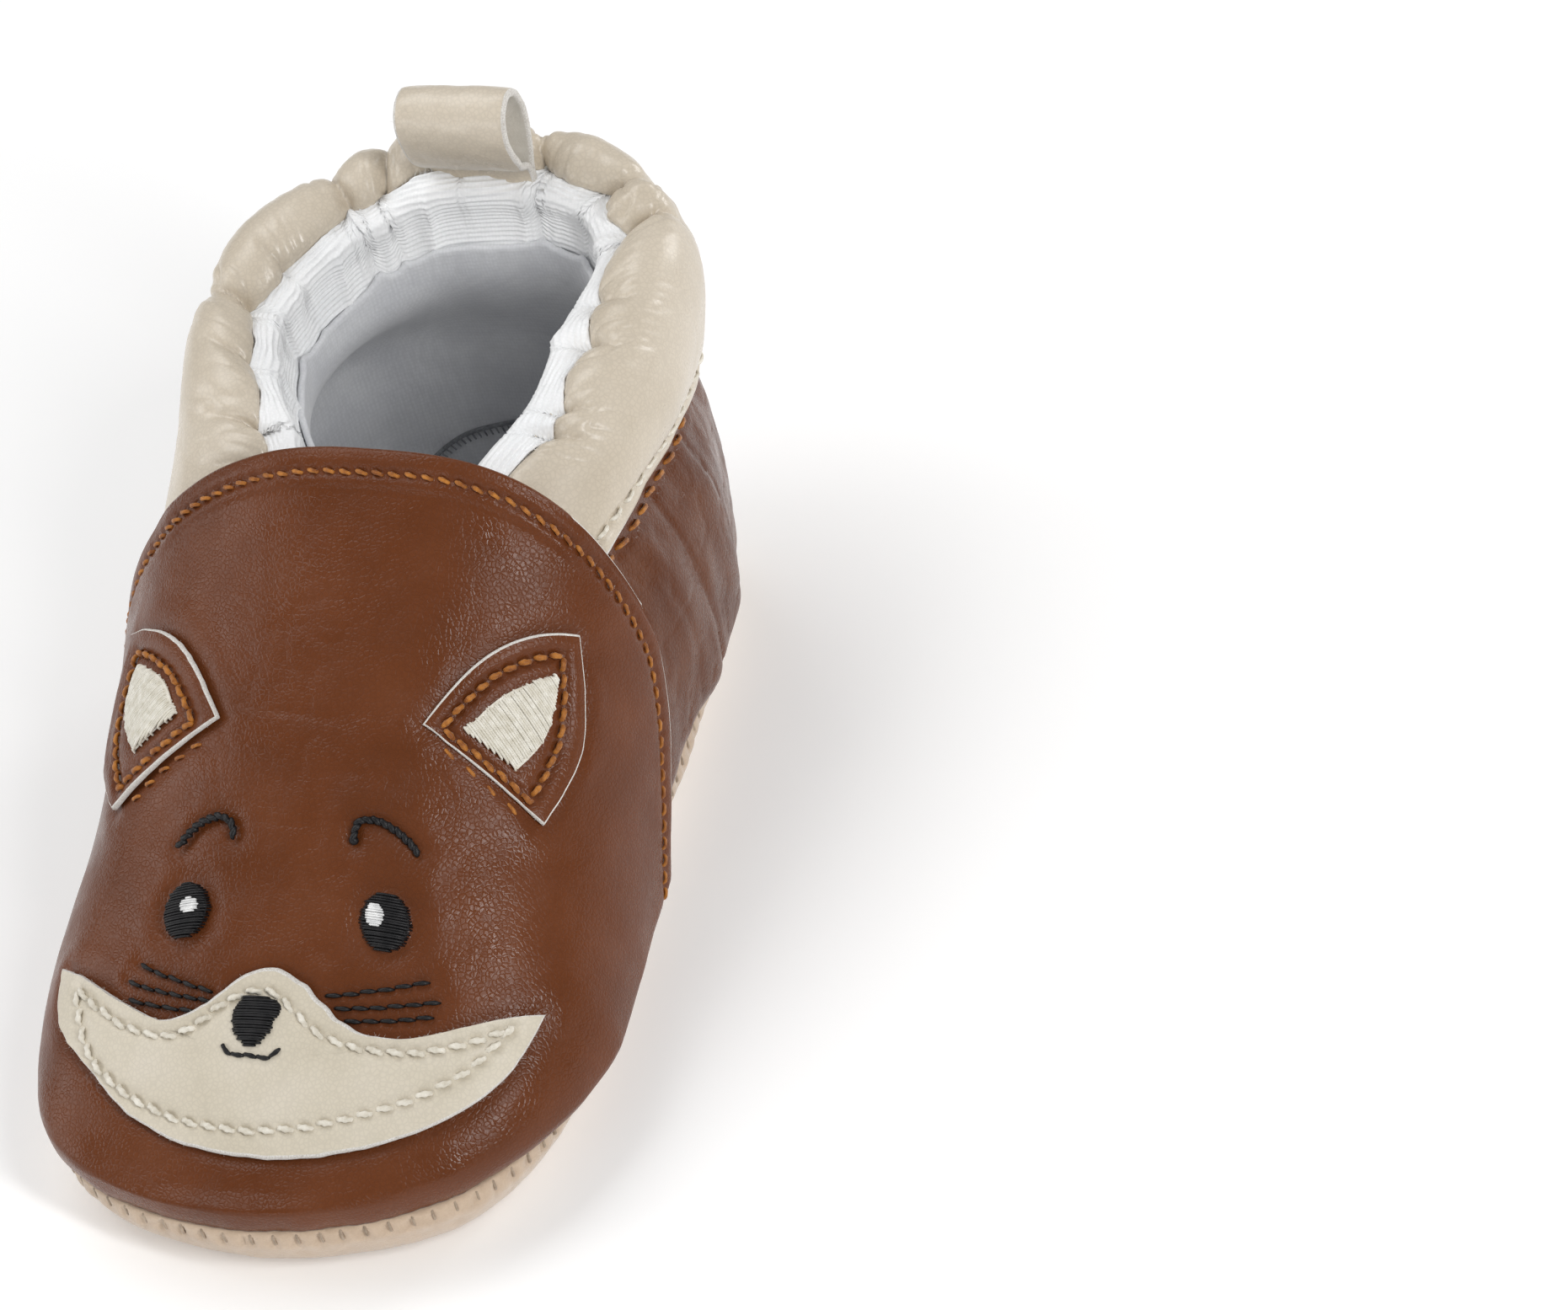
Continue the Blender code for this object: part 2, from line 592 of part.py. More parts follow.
def make_front_panel():
    front = front_panel(31, 13)
    back = front - normals(front) * LEATHER
    back[:, 0, 2] = front[:, 0, 2]
    sheet("vamp", front, back, LEATHER_BROWN, 0.5)
    front = front_panel(25, 10, pull=LINING_PULL)
    out = normals(front)
    upper = front - out * (LEATHER + 2 * GAP)
    lower = front - out * (LEATHER + 2 * GAP + LINING)
    upper[:, 0, 2] = front[:, 0, 2]
    lower[:, 0, 2] = front[:, 0, 2]
    sheet("vamp_lining", upper, lower, LINING_GREY, 0.9)


def share_of_wall(z):
    """The share of the heel panel's height that this height is, where its top is at WALL_TOP_Z."""
    return (z - SEAM_Z) / (WALL_TOP_Z - SEAM_Z)


def collar_sections(columns, steps):
    """The collar's outer surface: up over the wall, across its crest and down inside its lip."""
    t = np.linspace(0, 1, columns)
    wall = heel_wall(columns, [share_of_wall(COLLAR_EDGE_Z)])[:, 0]
    edge = wall.copy()
    edge[:, :2] += outward(wall[:, :2]) * (LEATHER + 1.6 * GAP)
    lip = Curve(LIP).at(t)
    out = outward(lip[:, :2])
    inner = lip.copy()
    inner[:, :2] += out * FLAP_LEAN
    inner[:, 2] -= FLAP_DEPTH
    rings = [edge, Curve(BELLY).at(t), Curve(CREST).at(t), lip, inner]
    lines = [Curve([ring[i] for ring in rings]).at(np.linspace(0, 1, steps)) for i in range(columns)]
    return duck(np.array(lines), COLLAR_COVER)


def make_heel():
    """The heel panel, its lining, the collar with its padding and elastic, and the rib band."""
    wall = heel_wall(COLUMNS, np.linspace(0, 1, 6))
    out = normals(wall)
    sheet("heel_panel", wall, wall - out * LEATHER, LEATHER_BROWN, 0.45)
    rows = wall[:, :-1]
    flat = out[:, :-1]
    sheet("heel_lining", rows - flat * (LEATHER + 2 * GAP), rows - flat * (LEATHER + 2 * GAP + LINING),
          LINING_GREY, 0.9)

    cover = collar_sections(COLUMNS, 11)
    flat = normals(cover)
    sheet("collar", cover, cover - flat * LEATHER, LEATHER_BEIGE, 0.4)
    pad = (cover - flat * (LEATHER + GAP))[1:-1, 3:-1]
    chord = np.linspace(pad[:, 0], pad[:, -1], pad.shape[1]).transpose(1, 0, 2)
    inset = np.linspace(0, 1, pad.shape[1])
    bow = (1 - (2 * inset - 1)**2)[None, :, None]
    chord = chord * (1 - PADDING_BOW * bow) + pad * PADDING_BOW * bow
    chord[:, 0] = pad[:, 0] - flat[1:-1, 3] * 0.5
    chord[:, -1] = pad[:, -1] - flat[1:-1, -2] * 0.5
    sheet("collar_padding", pad, chord, FOAM_WHITE, 0.95)

    t = np.linspace(0, 1, COLUMNS)
    lip = Curve(LIP).at(t)
    side = np.column_stack([outward(lip[:, :2]), np.zeros(COLUMNS)])
    down = np.array((0, 0, 1.0))
    inner_end = lip + side * FLAP_LEAN - down * FLAP_DEPTH
    top = inner_end + side * 0.9 - down * 0.6
    band = np.stack([top, top - down * ELASTIC_WIDTH], axis=1)[1:-1]
    sheet("collar_elastic", band + side[1:-1, None] * ELASTIC_THICKNESS, band, ELASTIC_WHITE, 0.8)

    low = (wall - out * (LEATHER + 3 * GAP + LINING + RIB_CLEAR))[:, -2] + down * RIB_LIFT
    under = (cover + flat * 1.5 * GAP)[:, -3:]
    rib = [under[:, 0], under[:, 1], under[:, 2], inner_end - side * 0.6 - down * 5, low]
    lines = np.array([Curve([ring[i] for ring in rib]).at(np.linspace(0, 1, 7)) for i in range(1, COLUMNS - 1)])
    flat = normals(lines)
    sheet("rib_band", lines, lines - flat * LINING, RIB_WHITE, 0.95)


def make_pull_loop():
    """A strap folded into a loop, its two ends sewn down at the hinge line."""
    outer = Curve(LOOP_OUTLINE).at(np.linspace(0, 1, 25))
    way = np.gradient(outer, axis=0)
    left = np.column_stack([-way[:, 1], way[:, 0]]) / np.linalg.norm(way, axis=1, keepdims=True)
    hole = (outer + left * LEATHER)[3:-3]
    points = []
    for x in (-LOOP_WIDTH / 2, LOOP_WIDTH / 2):
        for line in (outer, hole):
            points.append(np.column_stack([np.full(len(line), x), line[:, 0], line[:, 1]]))
    points = np.vstack(points) + np.array(LOOP_HINGE)
    m, n = len(outer), len(hole)
    side = m + n
    faces = [[i, (i + 1) % m, side + (i + 1) % m, side + i] for i in range(m)]
    faces += [[m + i, side + m + i, side + m + (i + 1) % n, m + (i + 1) % n] for i in range(n)]
    cheek = [[i + 3, i + 4, m + i + 1, m + i] for i in range(n - 1)]
    cheek.append([0, 1, 2, 3, m, m + n - 1, m - 4, m - 3, m - 2, m - 1])
    faces += cheek + [[side + v for v in reversed(face)] for face in cheek]
    make_object("pull_loop", points, faces, LEATHER_BEIGE, 0.4, origin=LOOP_HINGE)


def make_face():
    """The muzzle, ears, eyes and threads of the fox."""
    low, high = GAP, GAP + PATCH
    outline = cornered(MUZZLE, MUZZLE_CORNERS, 50)
    patch("muzzle", outline, MUZZLE_CENTRE, low + 0.1, high + 0.1, 5, LEATHER_BEIGE, 0.45)
    sides = (("outer", EAR_OUTER, EAR_FILL_OUTER, EAR_SEAM_OUTER),
             ("inner", EAR_INNER, EAR_FILL_INNER, EAR_SEAM_INNER))
    top = high + GAP + 0.1
    for side, ear, fill, seam in sides:
        centre = np.mean(fill, axis=0)
        patch(f"ear_{side}", cornered(ear, EAR_CORNERS, 28), centre, low, high, 3, LEATHER_BROWN, 0.5)
        patch(f"ear_embroidery_{side}", cornered(fill, EAR_CORNERS, 18), centre, top, top + EMBROIDERY, 2,
              THREAD_CREAM, 0.6)
        line = on_vamp(cornered(seam, EAR_CORNERS, 30))
        bead(f"ear_thread_{side}", lifted(line, top + THREAD), THREAD, THREAD_ORANGE, 0.5, closed=True, sides=4)
    for side, eye, light in zip(("outer", "inner"), EYES, EYE_LIGHTS):
        patch(f"eye_{side}", oval(*eye, 20), eye[:2], low, low + EMBROIDERY, 2, THREAD_BLACK, 0.4)
        patch(f"eye_light_{side}", oval(*light, 10), light[:2], low + EMBROIDERY + GAP,
              low + 2 * EMBROIDERY + GAP - 0.1, 1, THREAD_WHITE, 0.5)
    for side, brow in zip(("outer", "inner"), BROWS):
        line = lifted(on_vamp(Curve(brow).at(np.linspace(0, 1, 10))), low + THREAD)
        bead(f"brow_{side}", line, THREAD, THREAD_BLACK, 0.5)
    patch("nose", cornered(NOSE, (), 16), np.mean(NOSE, axis=0), top, top + EMBROIDERY, 2, THREAD_BLACK, 0.4)
    mouth = lifted(on_vamp(Curve(MOUTH).at(np.linspace(0, 1, 10))), top + 0.25)
    bead("mouth", mouth, 0.25, THREAD_BLACK, 0.5)
    for number, ends in enumerate(WHISKERS, 1):
        line = lifted(onto_vamp(np.linspace(*on_vamp(ends), 7)), low + 0.3)
        bead(f"whisker_{number}", line, 0.3, THREAD_BLACK, 0.5)
    seam = lifted(on_vamp(cornered(MUZZLE_SEAM, MUZZLE_SEAM_CORNERS, 56)), top + THREAD)
    bead("muzzle_stitching", seam, THREAD, THREAD_CREAM, 0.6, closed=True, sides=4)


def make_seams():
    """The threads that hold the panels together."""
    front = front_panel(45, 30)
    bead("vamp_topstitching", lifted(front[1:-1, -2], GAP + THREAD), THREAD, THREAD_ORANGE, 0.5, sides=4)
    steps = 45
    edge = collar_sections(steps, 24)
    flat = normals(edge)
    line = (edge + flat * (GAP + THREAD))[:, 2]
    seen = line[:, 1] > ARCH_Y + 4
    bead("collar_topstitching", line[seen], THREAD, THREAD_CREAM, 0.5, sides=4)
    share = share_of_wall(COLLAR_EDGE_Z - HEEL_SEAM_DROP)
    wall = heel_wall(steps, [share - 0.01, share, share + 0.01])
    flat = normals(wall)
    line = (wall + flat * (GAP + THREAD))[:, 1]
    seen = line[:, 1] > ARCH_Y + 4
    bead("heel_topstitching", line[seen], THREAD, THREAD_ORANGE, 0.5, sides=4)
    ring = seam_ring(lambda y: -(GAP + 0.3), lambda y: seam_z(y) - 1.2, 64)
    bead("sole_stitching", ring, 0.25, THREAD_CREAM, 0.6, closed=True, sides=4)


def stand_at_origin():
    """Hangs everything on one empty and puts the middle of the footprint at the origin."""
    bpy.context.view_layer.update()
    low, high = np.full(3, 1e9), np.full(3, -1e9)
    for thing in bpy.data.objects:
        places = np.array([thing.matrix_world @ v.co for v in thing.data.vertices])
        low = np.minimum(low, places.min(axis=0))
        high = np.maximum(high, places.max(axis=0))
    root = bpy.data.objects.new("bootie", None)
    bpy.context.collection.objects.link(root)
    for thing in bpy.data.objects:
        if thing is not root:
            thing.parent = root
    middle = (low + high) / 2
    root.location = (-middle[0], -middle[1], -low[2])
    bpy.context.view_layer.update()
    print("moved by mm", root.location / MM)


def main():
    clear_scene()
    make_sole()
    make_front_panel()
    make_heel()
    make_pull_loop()
    make_face()
    make_seams()
    stand_at_origin()


main()
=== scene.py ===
"""The looks of the soft-soled baby bootie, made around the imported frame.

Lengths are millimetres in the shoe's own drawing frame: the toe points along -Y, the outer side of the
foot is +X, and the sole stands on z = 0. Form.build() moves each piece into the row frame, in metres.
"""

import json
import math

import bpy
import numpy as np
from mathutils import Matrix, Vector
from mathutils.kdtree import KDTree


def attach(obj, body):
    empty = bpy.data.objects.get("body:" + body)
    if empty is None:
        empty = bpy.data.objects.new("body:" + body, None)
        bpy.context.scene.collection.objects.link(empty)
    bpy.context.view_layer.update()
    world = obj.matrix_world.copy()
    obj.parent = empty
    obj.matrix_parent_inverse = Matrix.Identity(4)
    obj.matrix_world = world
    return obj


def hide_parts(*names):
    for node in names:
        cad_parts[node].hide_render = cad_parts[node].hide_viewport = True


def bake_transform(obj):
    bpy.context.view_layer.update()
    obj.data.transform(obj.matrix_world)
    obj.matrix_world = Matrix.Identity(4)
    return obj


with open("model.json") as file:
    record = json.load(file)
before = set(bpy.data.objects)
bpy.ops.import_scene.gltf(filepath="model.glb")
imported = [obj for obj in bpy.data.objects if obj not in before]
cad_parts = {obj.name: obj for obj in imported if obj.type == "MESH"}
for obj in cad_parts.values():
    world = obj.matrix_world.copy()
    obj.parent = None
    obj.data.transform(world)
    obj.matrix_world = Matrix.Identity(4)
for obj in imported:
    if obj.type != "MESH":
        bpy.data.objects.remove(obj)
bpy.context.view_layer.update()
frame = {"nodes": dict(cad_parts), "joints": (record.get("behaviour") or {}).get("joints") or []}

MM = 0.001
LOOP_HINGE = np.array((1.8, 58.2, 60.6))
SHIFT = np.array(frame["joints"][0]["pos_m"]) / MM - LOOP_HINGE
FINE = 1.0


# ---------------------------------------------------------------- the shape of the shoe

HEEL_Y = 61.5
TOE_Y = -60.5
SEAM_Z = 6.0
GAP = 0.3
LEATHER = 1.0

# The sole seam seen from above, from the toe along the outer side to the heel and back.
OUTER_SIDE = ((10.8, -58.2), (21.2, -52.8), (27, -43.5), (29.1, -30), (28.2, -13), (27, 6), (26.4, 25),
              (25, 43), (20.4, 55.5), (11, 60.6))
INNER_SIDE = ((-11.5, 60.6), (-21.5, 55), (-26.5, 43), (-28.6, 25), (-30.6, 6), (-32.4, -13),
              (-33.1, -29), (-31, -43.5), (-24.2, -54), (-13, -59.2))
SOLE_SEAM = ((-1, TOE_Y),) + OUTER_SIDE + ((0, HEEL_Y),) + INNER_SIDE

# The front panel rises as a straight ramp from the toe to an arch over the instep.
ARCH_Y = 9.8
RAMP_Z = 54.0
RAMP_SLOPE = 0.70
TOE_ROUND = 13.0
TOE_SPRING = 2.4
WIDEST_RISE = 4.0
OUTER_SPREAD = 2.8
INNER_SPREAD = 6.0
OUTER_FULLNESS = 1.15
INNER_FULLNESS = 0.15
# How far the upper stands out over the sole seam on the outer side, at places along the foot.
OVERHANG = ((-53, 0), (-43.5, 1.4), (-30, 2.7), (25, 2.8), (43, 2), (55.5, 0.6), (62, 0))
# How much fuller than that the front panel is on the outer side.
FRONT_BULGE = ((-55, 0), (-45, 0.9), (-32, 1.9), (-18, 1.8), (0, 0.4), (10, 0))
# How deep the lower half of its section would reach below the widest height.
UNDERCUT = ((-58, 22), (-50, 11.5), (-42, 8.2), (-30, 7.2), (-10, 6.2), (10, 5.8))
UNDERCUT_INNER = 22
OVERHANG_SHARE = 0.2
ARCH_SHIFT = 1.6
SIDE_SEAM_BEND = 15.5
SIDE_SEAM_TOP = 32.0
SIDE_SEAM_BASE = ARCH_Y - SIDE_SEAM_BEND
VAMP_CORNER_Z = 30.0
VAMP_CENTRE = np.array((0.0, 9.8, 8.0))
FOOT_CENTRE = np.array((0.0, 10.0, 0.0))


class Curve:
    """A smooth curve through its points, read at t from 0 to 1 by length."""

    def __init__(self, points, closed=False):
        points = np.array(points, float)
        if closed:
            points = np.vstack([points, points[:1]])
        step = np.linalg.norm(np.diff(points, axis=0), axis=1)
        count = len(points)
        matrix = np.eye(count)
        right = np.zeros_like(points)
        slope = np.diff(points, axis=0) / step[:, None]
        for i in range(1, count - 1):
            matrix[i, i - 1:i + 2] = step[i - 1], 2 * (step[i - 1] + step[i]), step[i]
            right[i] = 6 * (slope[i] - slope[i - 1])
        if closed:
            matrix[0, -1] = -1
            matrix[-1, :2] = 2 * step[0], step[0]
            matrix[-1, -2:] = step[-1], 2 * step[-1]
            right[-1] = 6 * (slope[0] - slope[-1])
        self.points = points
        self.step = step
        self.knots = np.concatenate([[0], np.cumsum(step)])
        self.bend = np.linalg.solve(matrix, right)

    def at(self, t):
        s = np.clip(np.asarray(t, float), 0, 1) * self.knots[-1]
        i = np.clip(np.searchsorted(self.knots, s, "right") - 1, 0, len(self.step) - 1)
        h = self.step[i][..., None]
        u = ((s - self.knots[i])[..., None]) / h
        v = 1 - u
        line = v * self.points[i] + u * self.points[i + 1]
        curl = (v**3 - v) * self.bend[i] + (u**3 - u) * self.bend[i + 1]
        return line + curl * h**2 / 6


SEAM_CURVE = Curve(SOLE_SEAM, closed=True)
SEAM_FINE = SEAM_CURVE.at(np.linspace(0, 1, 1441))
HEEL_INDEX = int(np.argmax(SEAM_FINE[:, 1]))


def travelled(line):
    """How far along a line each of its points lies."""
    return np.concatenate([[0], np.cumsum(np.linalg.norm(np.diff(line, axis=0), axis=1))])


def read_line(line, knots, at):
    """The places at these distances on a line whose points lie at the distances in knots."""
    return np.stack([np.interp(at, knots, line[:, k]) for k in range(line.shape[1])], -1)


def resample(line, count):
    """The same polyline with its points at equal distances."""
    knots = travelled(line)
    return read_line(line, knots, np.linspace(0, knots[-1], count))


def panel_ends(front_y):
    """Where the sole seam passes this y on the outer and the inner side, as places in the seam."""
    outer = int(np.argmin(np.abs(SEAM_FINE[:HEEL_INDEX + 1, 1] - front_y)))
    inner = HEEL_INDEX + int(np.argmin(np.abs(SEAM_FINE[HEEL_INDEX:, 1] - front_y)))
    return outer, inner


def seam_side(y, side):
    """The sole seam's x at this y, on the outer (1) or the inner (-1) side."""
    if side > 0:
        half = SEAM_FINE[:HEEL_INDEX + 1]
    else:
        half = SEAM_FINE[HEEL_INDEX:][::-1]
    return np.interp(y, half[:, 1], half[:, 0])


def smooth_step(x):
    """Grows smoothly from 0 to 1."""
    x = np.clip(x, 0, 1)
    return x * x * (3 - 2 * x)


def seam_z(y):
    """The sole seam is level, and rises a little round the toe."""
    return SEAM_Z + TOE_SPRING * smooth_step((-34 - y) / 24)


def widest_z(y):
    """The height at which the upper is widest."""
    return seam_z(y) + WIDEST_RISE


def read(table, place):
    """The value at a place, from a table of (place, value)."""
    return np.interp(place, *np.array(table).T)


def ramp(y):
    """Height of the front panel's centre line."""
    flat = RAMP_Z + RAMP_SLOPE * y
    start = TOE_Y + TOE_ROUND
    back = np.clip((start - y) / (TOE_ROUND + 0.6), 0, 1)
    low = widest_z(y)
    return np.where(y < start, low + (flat - low) * np.sqrt(1 - back**2), flat)


def arch_share(y):
    """0 over the toes, growing to 1 at the arch."""
    return np.clip((y + 22) / 32, 0, 1)**1.5


def section(x, y):
    """The middle, half width and roundness of the front panel's section, on the side of x."""
    share = arch_share(y)
    side = seam_side(y, 1) + read(OVERHANG, y)
    outer = side + 0.5 + read(FRONT_BULGE, y) + OUTER_SPREAD * share
    inner = seam_side(y, -1) - 1.1 - INNER_SPREAD * share
    middle = (side + seam_side(y, -1)) / 2 * (1 - share) + ARCH_SHIFT * share
    half = np.maximum(np.where(x > middle, outer - middle, middle - inner), 0.01)
    return middle, half, 2 + np.where(x > middle, OUTER_FULLNESS, INNER_FULLNESS) * share


def inside_vamp(p):
    """Below 1 inside the front panel's outer surface."""
    x, y, z = p[..., 0], p[..., 1], p[..., 2]
    middle, half, power = section(x, y)
    low = widest_z(y)
    high = np.maximum(ramp(y) - low, 0.01)
    under = np.where(x > middle, read(UNDERCUT, y), UNDERCUT_INNER)
    tall = np.where(z > low, (z - low) / high, (low - z) / under)
    value = np.abs((x - middle) / half)**power + np.abs(tall)**power
    return np.where(y < TOE_Y - 0.5, 9.0, value)


def onto_vamp(p):
    """Moves points along lines from the centre of the panel until they lie on its surface."""
    way = p - VAMP_CENTRE
    way = way / np.linalg.norm(way, axis=-1, keepdims=True)
    low = np.zeros(p.shape[:-1])
    high = np.full(p.shape[:-1], 120.0)
    for _ in range(40):
        middle = (low + high) / 2
        inside = inside_vamp(VAMP_CENTRE + way * middle[..., None]) < 1
        low = np.where(inside, middle, low)
        high = np.where(inside, high, middle)
    return VAMP_CENTRE + way * low[..., None]


def vamp_height(x, y):
    """Height of the front panel's surface over a point of the floor."""
    middle, half, power = section(x, y)
    share = np.clip(1 - np.abs((x - middle) / half)**power, 0, 1)**(1 / power)
    return widest_z(y) + (ramp(y) - widest_z(y)) * share


def arch_line(y, angles):
    """Points of the front panel at these angles round its section at y, 0 on the outer side."""
    side = np.cos(angles)
    middle, half, power = section(np.where(side > 0, 99.0, -99.0), y)
    x = middle + half * np.sign(side) * np.abs(side)**(2 / power)
    z = widest_z(y) + (ramp(y) - widest_z(y)) * np.sin(angles)**(2 / power)
    return np.column_stack([x, np.broadcast_to(y, x.shape), z])


def side_seam_y(z):
    """Where the front panel's edge lies at each height."""
    down = np.clip((SIDE_SEAM_TOP - z) / (SIDE_SEAM_TOP - SEAM_Z), 0, 1)
    return ARCH_Y - SIDE_SEAM_BEND * down**1.7


def front_panel(columns, rows, pull=0.0):
    """The front panel's outer surface, from the outer side seam round the toe to the inner one.

    pull moves its edges forwards from the real ones."""
    base = SIDE_SEAM_BASE - pull
    outer, inner = panel_ends(base)
    way_round = np.vstack([SEAM_FINE[outer::-1], SEAM_FINE[-2:inner - 1:-1]])
    plan = resample(way_round, columns)
    bottom = onto_vamp(np.column_stack([plan, seam_z(plan[:, 1]) + GAP]))
    z = np.linspace(SEAM_Z + GAP, VAMP_CORNER_Z, 61)
    side_y = side_seam_y(z) - pull
    left = onto_vamp(np.column_stack([seam_side(side_y, 1), side_y, z]))
    right = onto_vamp(np.column_stack([seam_side(side_y, -1), side_y, z]))
    turn = math.asin((VAMP_CORNER_Z - SEAM_Z - WIDEST_RISE) / (RAMP_Z - SEAM_Z))
    angles = np.linspace(turn, math.pi - turn, 241)
    top = resample(arch_line(ARCH_Y - pull, angles), columns)
    left[0], right[0] = bottom[0], bottom[-1]
    left[-1], right[-1] = top[0], top[-1]
    u = np.linspace(0, 1, columns)[:, None, None]
    v = np.linspace(0, 1, 61)[None, :, None]
    across = (1 - v) * bottom[:, None] + v * top[:, None]
    along = (1 - u) * left[None] + u * right[None]
    corners = (1 - u) * ((1 - v) * left[0] + v * left[-1]) + u * ((1 - v) * right[0] + v * right[-1])
    grid = onto_vamp(across + along - corners)
    grid[:, -1] = top
    return np.array([resample(line, rows) for line in grid])


# The heel panel's wall leaves the sole seam and leans in towards the collar.
COLLAR_EDGE_Z = 38.5
COLLAR_RISE = 0.07
WALL_TOP_Z = 41.0
OVERLAP = 8.0
# Its swelling halfway up, its extra height on the outer side and its lean at the top, along the foot.
WALL_BULGE = ((-14, 1.0), (9, 2.2), (20, 3.4), (37, 2.6), (48, 1.4), (62, 1.6))
OUTER_RISE = ((-14, 9.2), (9, 8.8), (20, 5.8), (32, 2.6), (44, 0), (62, 0))
RISE_LEAN = 0.28
WALL_LEAN = ((-14, 1.0), (9, -1.6), (25, -2.6), (36, -1.6), (46, -0.4), (62, -1.2))

# The collar's rings, from under the front panel on the outer side round the heel to the inner side.
LIP = ((10.5, 2, 48.5), (13.6, 14, 52.6), (17.4, 23, 54), (18.4, 33, 55), (19.2, 42, 56), (19.6, 49.5, 57.3),
       (14, 57, 58.8), (4.5, 58.8, 59.5), (-4.5, 57.6, 59.3), (-11, 53.6, 58.3), (-16.6, 47.5, 57),
       (-19.8, 38, 55.5), (-18, 28.5, 54), (-12.8, 19.5, 52.4), (-8.8, 2, 48))
CREST = ((18, 2, 49), (20.4, 13, 53.4), (23.8, 24, 56.4), (25.6, 35, 58), (26.2, 45, 58.8), (24, 54, 59.8),
         (15, 61, 60.6), (4, 62.6, 61), (-6, 61.2, 60.6), (-14, 56.6, 59.6), (-21.2, 49, 58.4),
         (-25.4, 39.4, 57.2), (-24, 29, 55.6), (-20.4, 16, 52.2), (-17.4, 2, 46))
BELLY = ((24.6, 2, 46), (26.4, 13, 49.2), (29.2, 24, 50.2), (30.6, 35, 50), (30.2, 45, 51), (27, 56, 52.6),
         (16.5, 63.6, 54), (3, 65.4, 54), (-10, 63.6, 53), (-20.4, 57.4, 52), (-27.4, 48, 50.6),
         (-29.8, 38, 49.4), (-28.8, 27, 48), (-27, 14, 45.2), (-25, 2, 41))


def outward(plan):
    """Unit vectors out of an outline that runs from the outer side round the heel."""
    way = np.gradient(plan, axis=0)
    return np.column_stack([way[:, 1], -way[:, 0]]) / np.linalg.norm(way, axis=1, keepdims=True)


def outer_rise(plan):
    """How much higher the heel panel reaches on the outer side of the foot."""
    return np.where(plan[:, 0] > 0, read(OUTER_RISE, plan[:, 1]), 0.0)


def wall_top(y):
    """The height of the heel panel's top on the inner side."""
    return WALL_TOP_Z + COLLAR_RISE * (y - 20)


def duck(points, depth):
    """Draws points in under the front panel, deep where it covers them and less behind its edge."""
    way = points - VAMP_CENTRE
    reach = np.linalg.norm(way, axis=-1, keepdims=True)
    cover = np.linalg.norm(onto_vamp(points) - VAMP_CENTRE, axis=-1, keepdims=True)
    edge = side_seam_y(points[..., 2:]) + 1
    free = np.maximum(points[..., 1:2] - edge, 0)
    return VAMP_CENTRE + way / reach * np.minimum(reach, cover - depth + free * 0.8)


def heel_wall(columns, heights):
    """The heel panel's outer surface at these shares of its height, round the heel."""
    rows = []
    for h in heights:
        front = side_seam_y(SEAM_Z + GAP + h * (wall_top(0) - SEAM_Z)) - OVERLAP
        outer, inner = panel_ends(front)
        plan = resample(SEAM_FINE[outer:inner + 1], columns)
        bulge = read(WALL_BULGE, plan[:, 1])
        rise = outer_rise(plan)
        lean = read(WALL_LEAN, plan[:, 1]) - RISE_LEAN * rise
        hang = np.where(plan[:, 0] > 0, read(OVERHANG, plan[:, 1]), 0.0)
        offset = 4 * h * (1 - h) * bulge + h**2 * lean + hang * smooth_step(h / OVERHANG_SHARE)
        z = SEAM_Z + GAP + h * (wall_top(plan[:, 1]) + rise - SEAM_Z)
        row = np.column_stack([plan + outward(plan) * offset[:, None], z])
        rows.append(duck(row, 1.7 + 2.2 * smooth_step((z[:, None] - 28) / 8)))
    return np.array(rows).transpose(1, 0, 2)


# ---------------------------------------------------------------- tools

def normals(grid):
    """Unit normals of a grid of points, turned away from the middle of the foot."""
    normal = np.cross(np.gradient(grid, axis=0), np.gradient(grid, axis=1))
    normal = unit(normal)
    return normal * np.sign(np.sum(normal * (grid - FOOT_CENTRE)))


def unit(v):
    """Vectors of length 1 along the given ones."""
    return v / np.maximum(np.linalg.norm(v, axis=-1, keepdims=True), 1e-9)


def noise(p, size, seed=0.0):
    """Smooth random values from -1 to 1, that change over this many millimetres."""
    q = np.asarray(p, float) / size + seed * 17.31
    base = np.floor(q)
    part = q - base
    part = part * part * (3 - 2 * part)
    total = 0.0
    for corner in np.ndindex(2, 2, 2):
        place = base + corner
        value = np.sin(place @ np.array((127.1, 311.7, 74.7))) * 43758.5453
        weight = np.prod(np.where(corner, part, 1 - part), axis=-1)
        total = total + weight * (2 * (value - np.floor(value)) - 1)
    return total


def relief(p, layers):
    """The sum of several noises, each given by its strength, size and seed."""
    return sum(strength * noise(p, size, seed) for strength, size, seed in layers)


def ridges(p, size, seed=0.0, sharp=3.0):
    """Thin crease lines of strength 1 on a ground of 0."""
    return (1 - np.abs(noise(p, size, seed)))**sharp


def bell(distance, width):
    """1 at no distance, falling smoothly to 0 beyond about twice the width."""
    return np.exp(-(distance / width)**2)


def nearest(points, line):
    """How far points are from a line of points, and which of them is nearest."""
    tree = KDTree(len(line))
    for index, place in enumerate(line):
        tree.insert(place, index)
    tree.balance()
    found = [tree.find(p)[1:] for p in points.reshape(-1, 3)]
    index, distance = zip(*found)
    shape = points.shape[:-1]
    return np.array(distance).reshape(shape), np.array(index).reshape(shape)


def length_of(line):
    """The length of a polyline."""
    return np.linalg.norm(np.diff(line, axis=0), axis=1).sum()


def dense(line, step=0.25):
    """The same line with a point every step."""
    return resample(line, max(2, int(length_of(line) / step)))


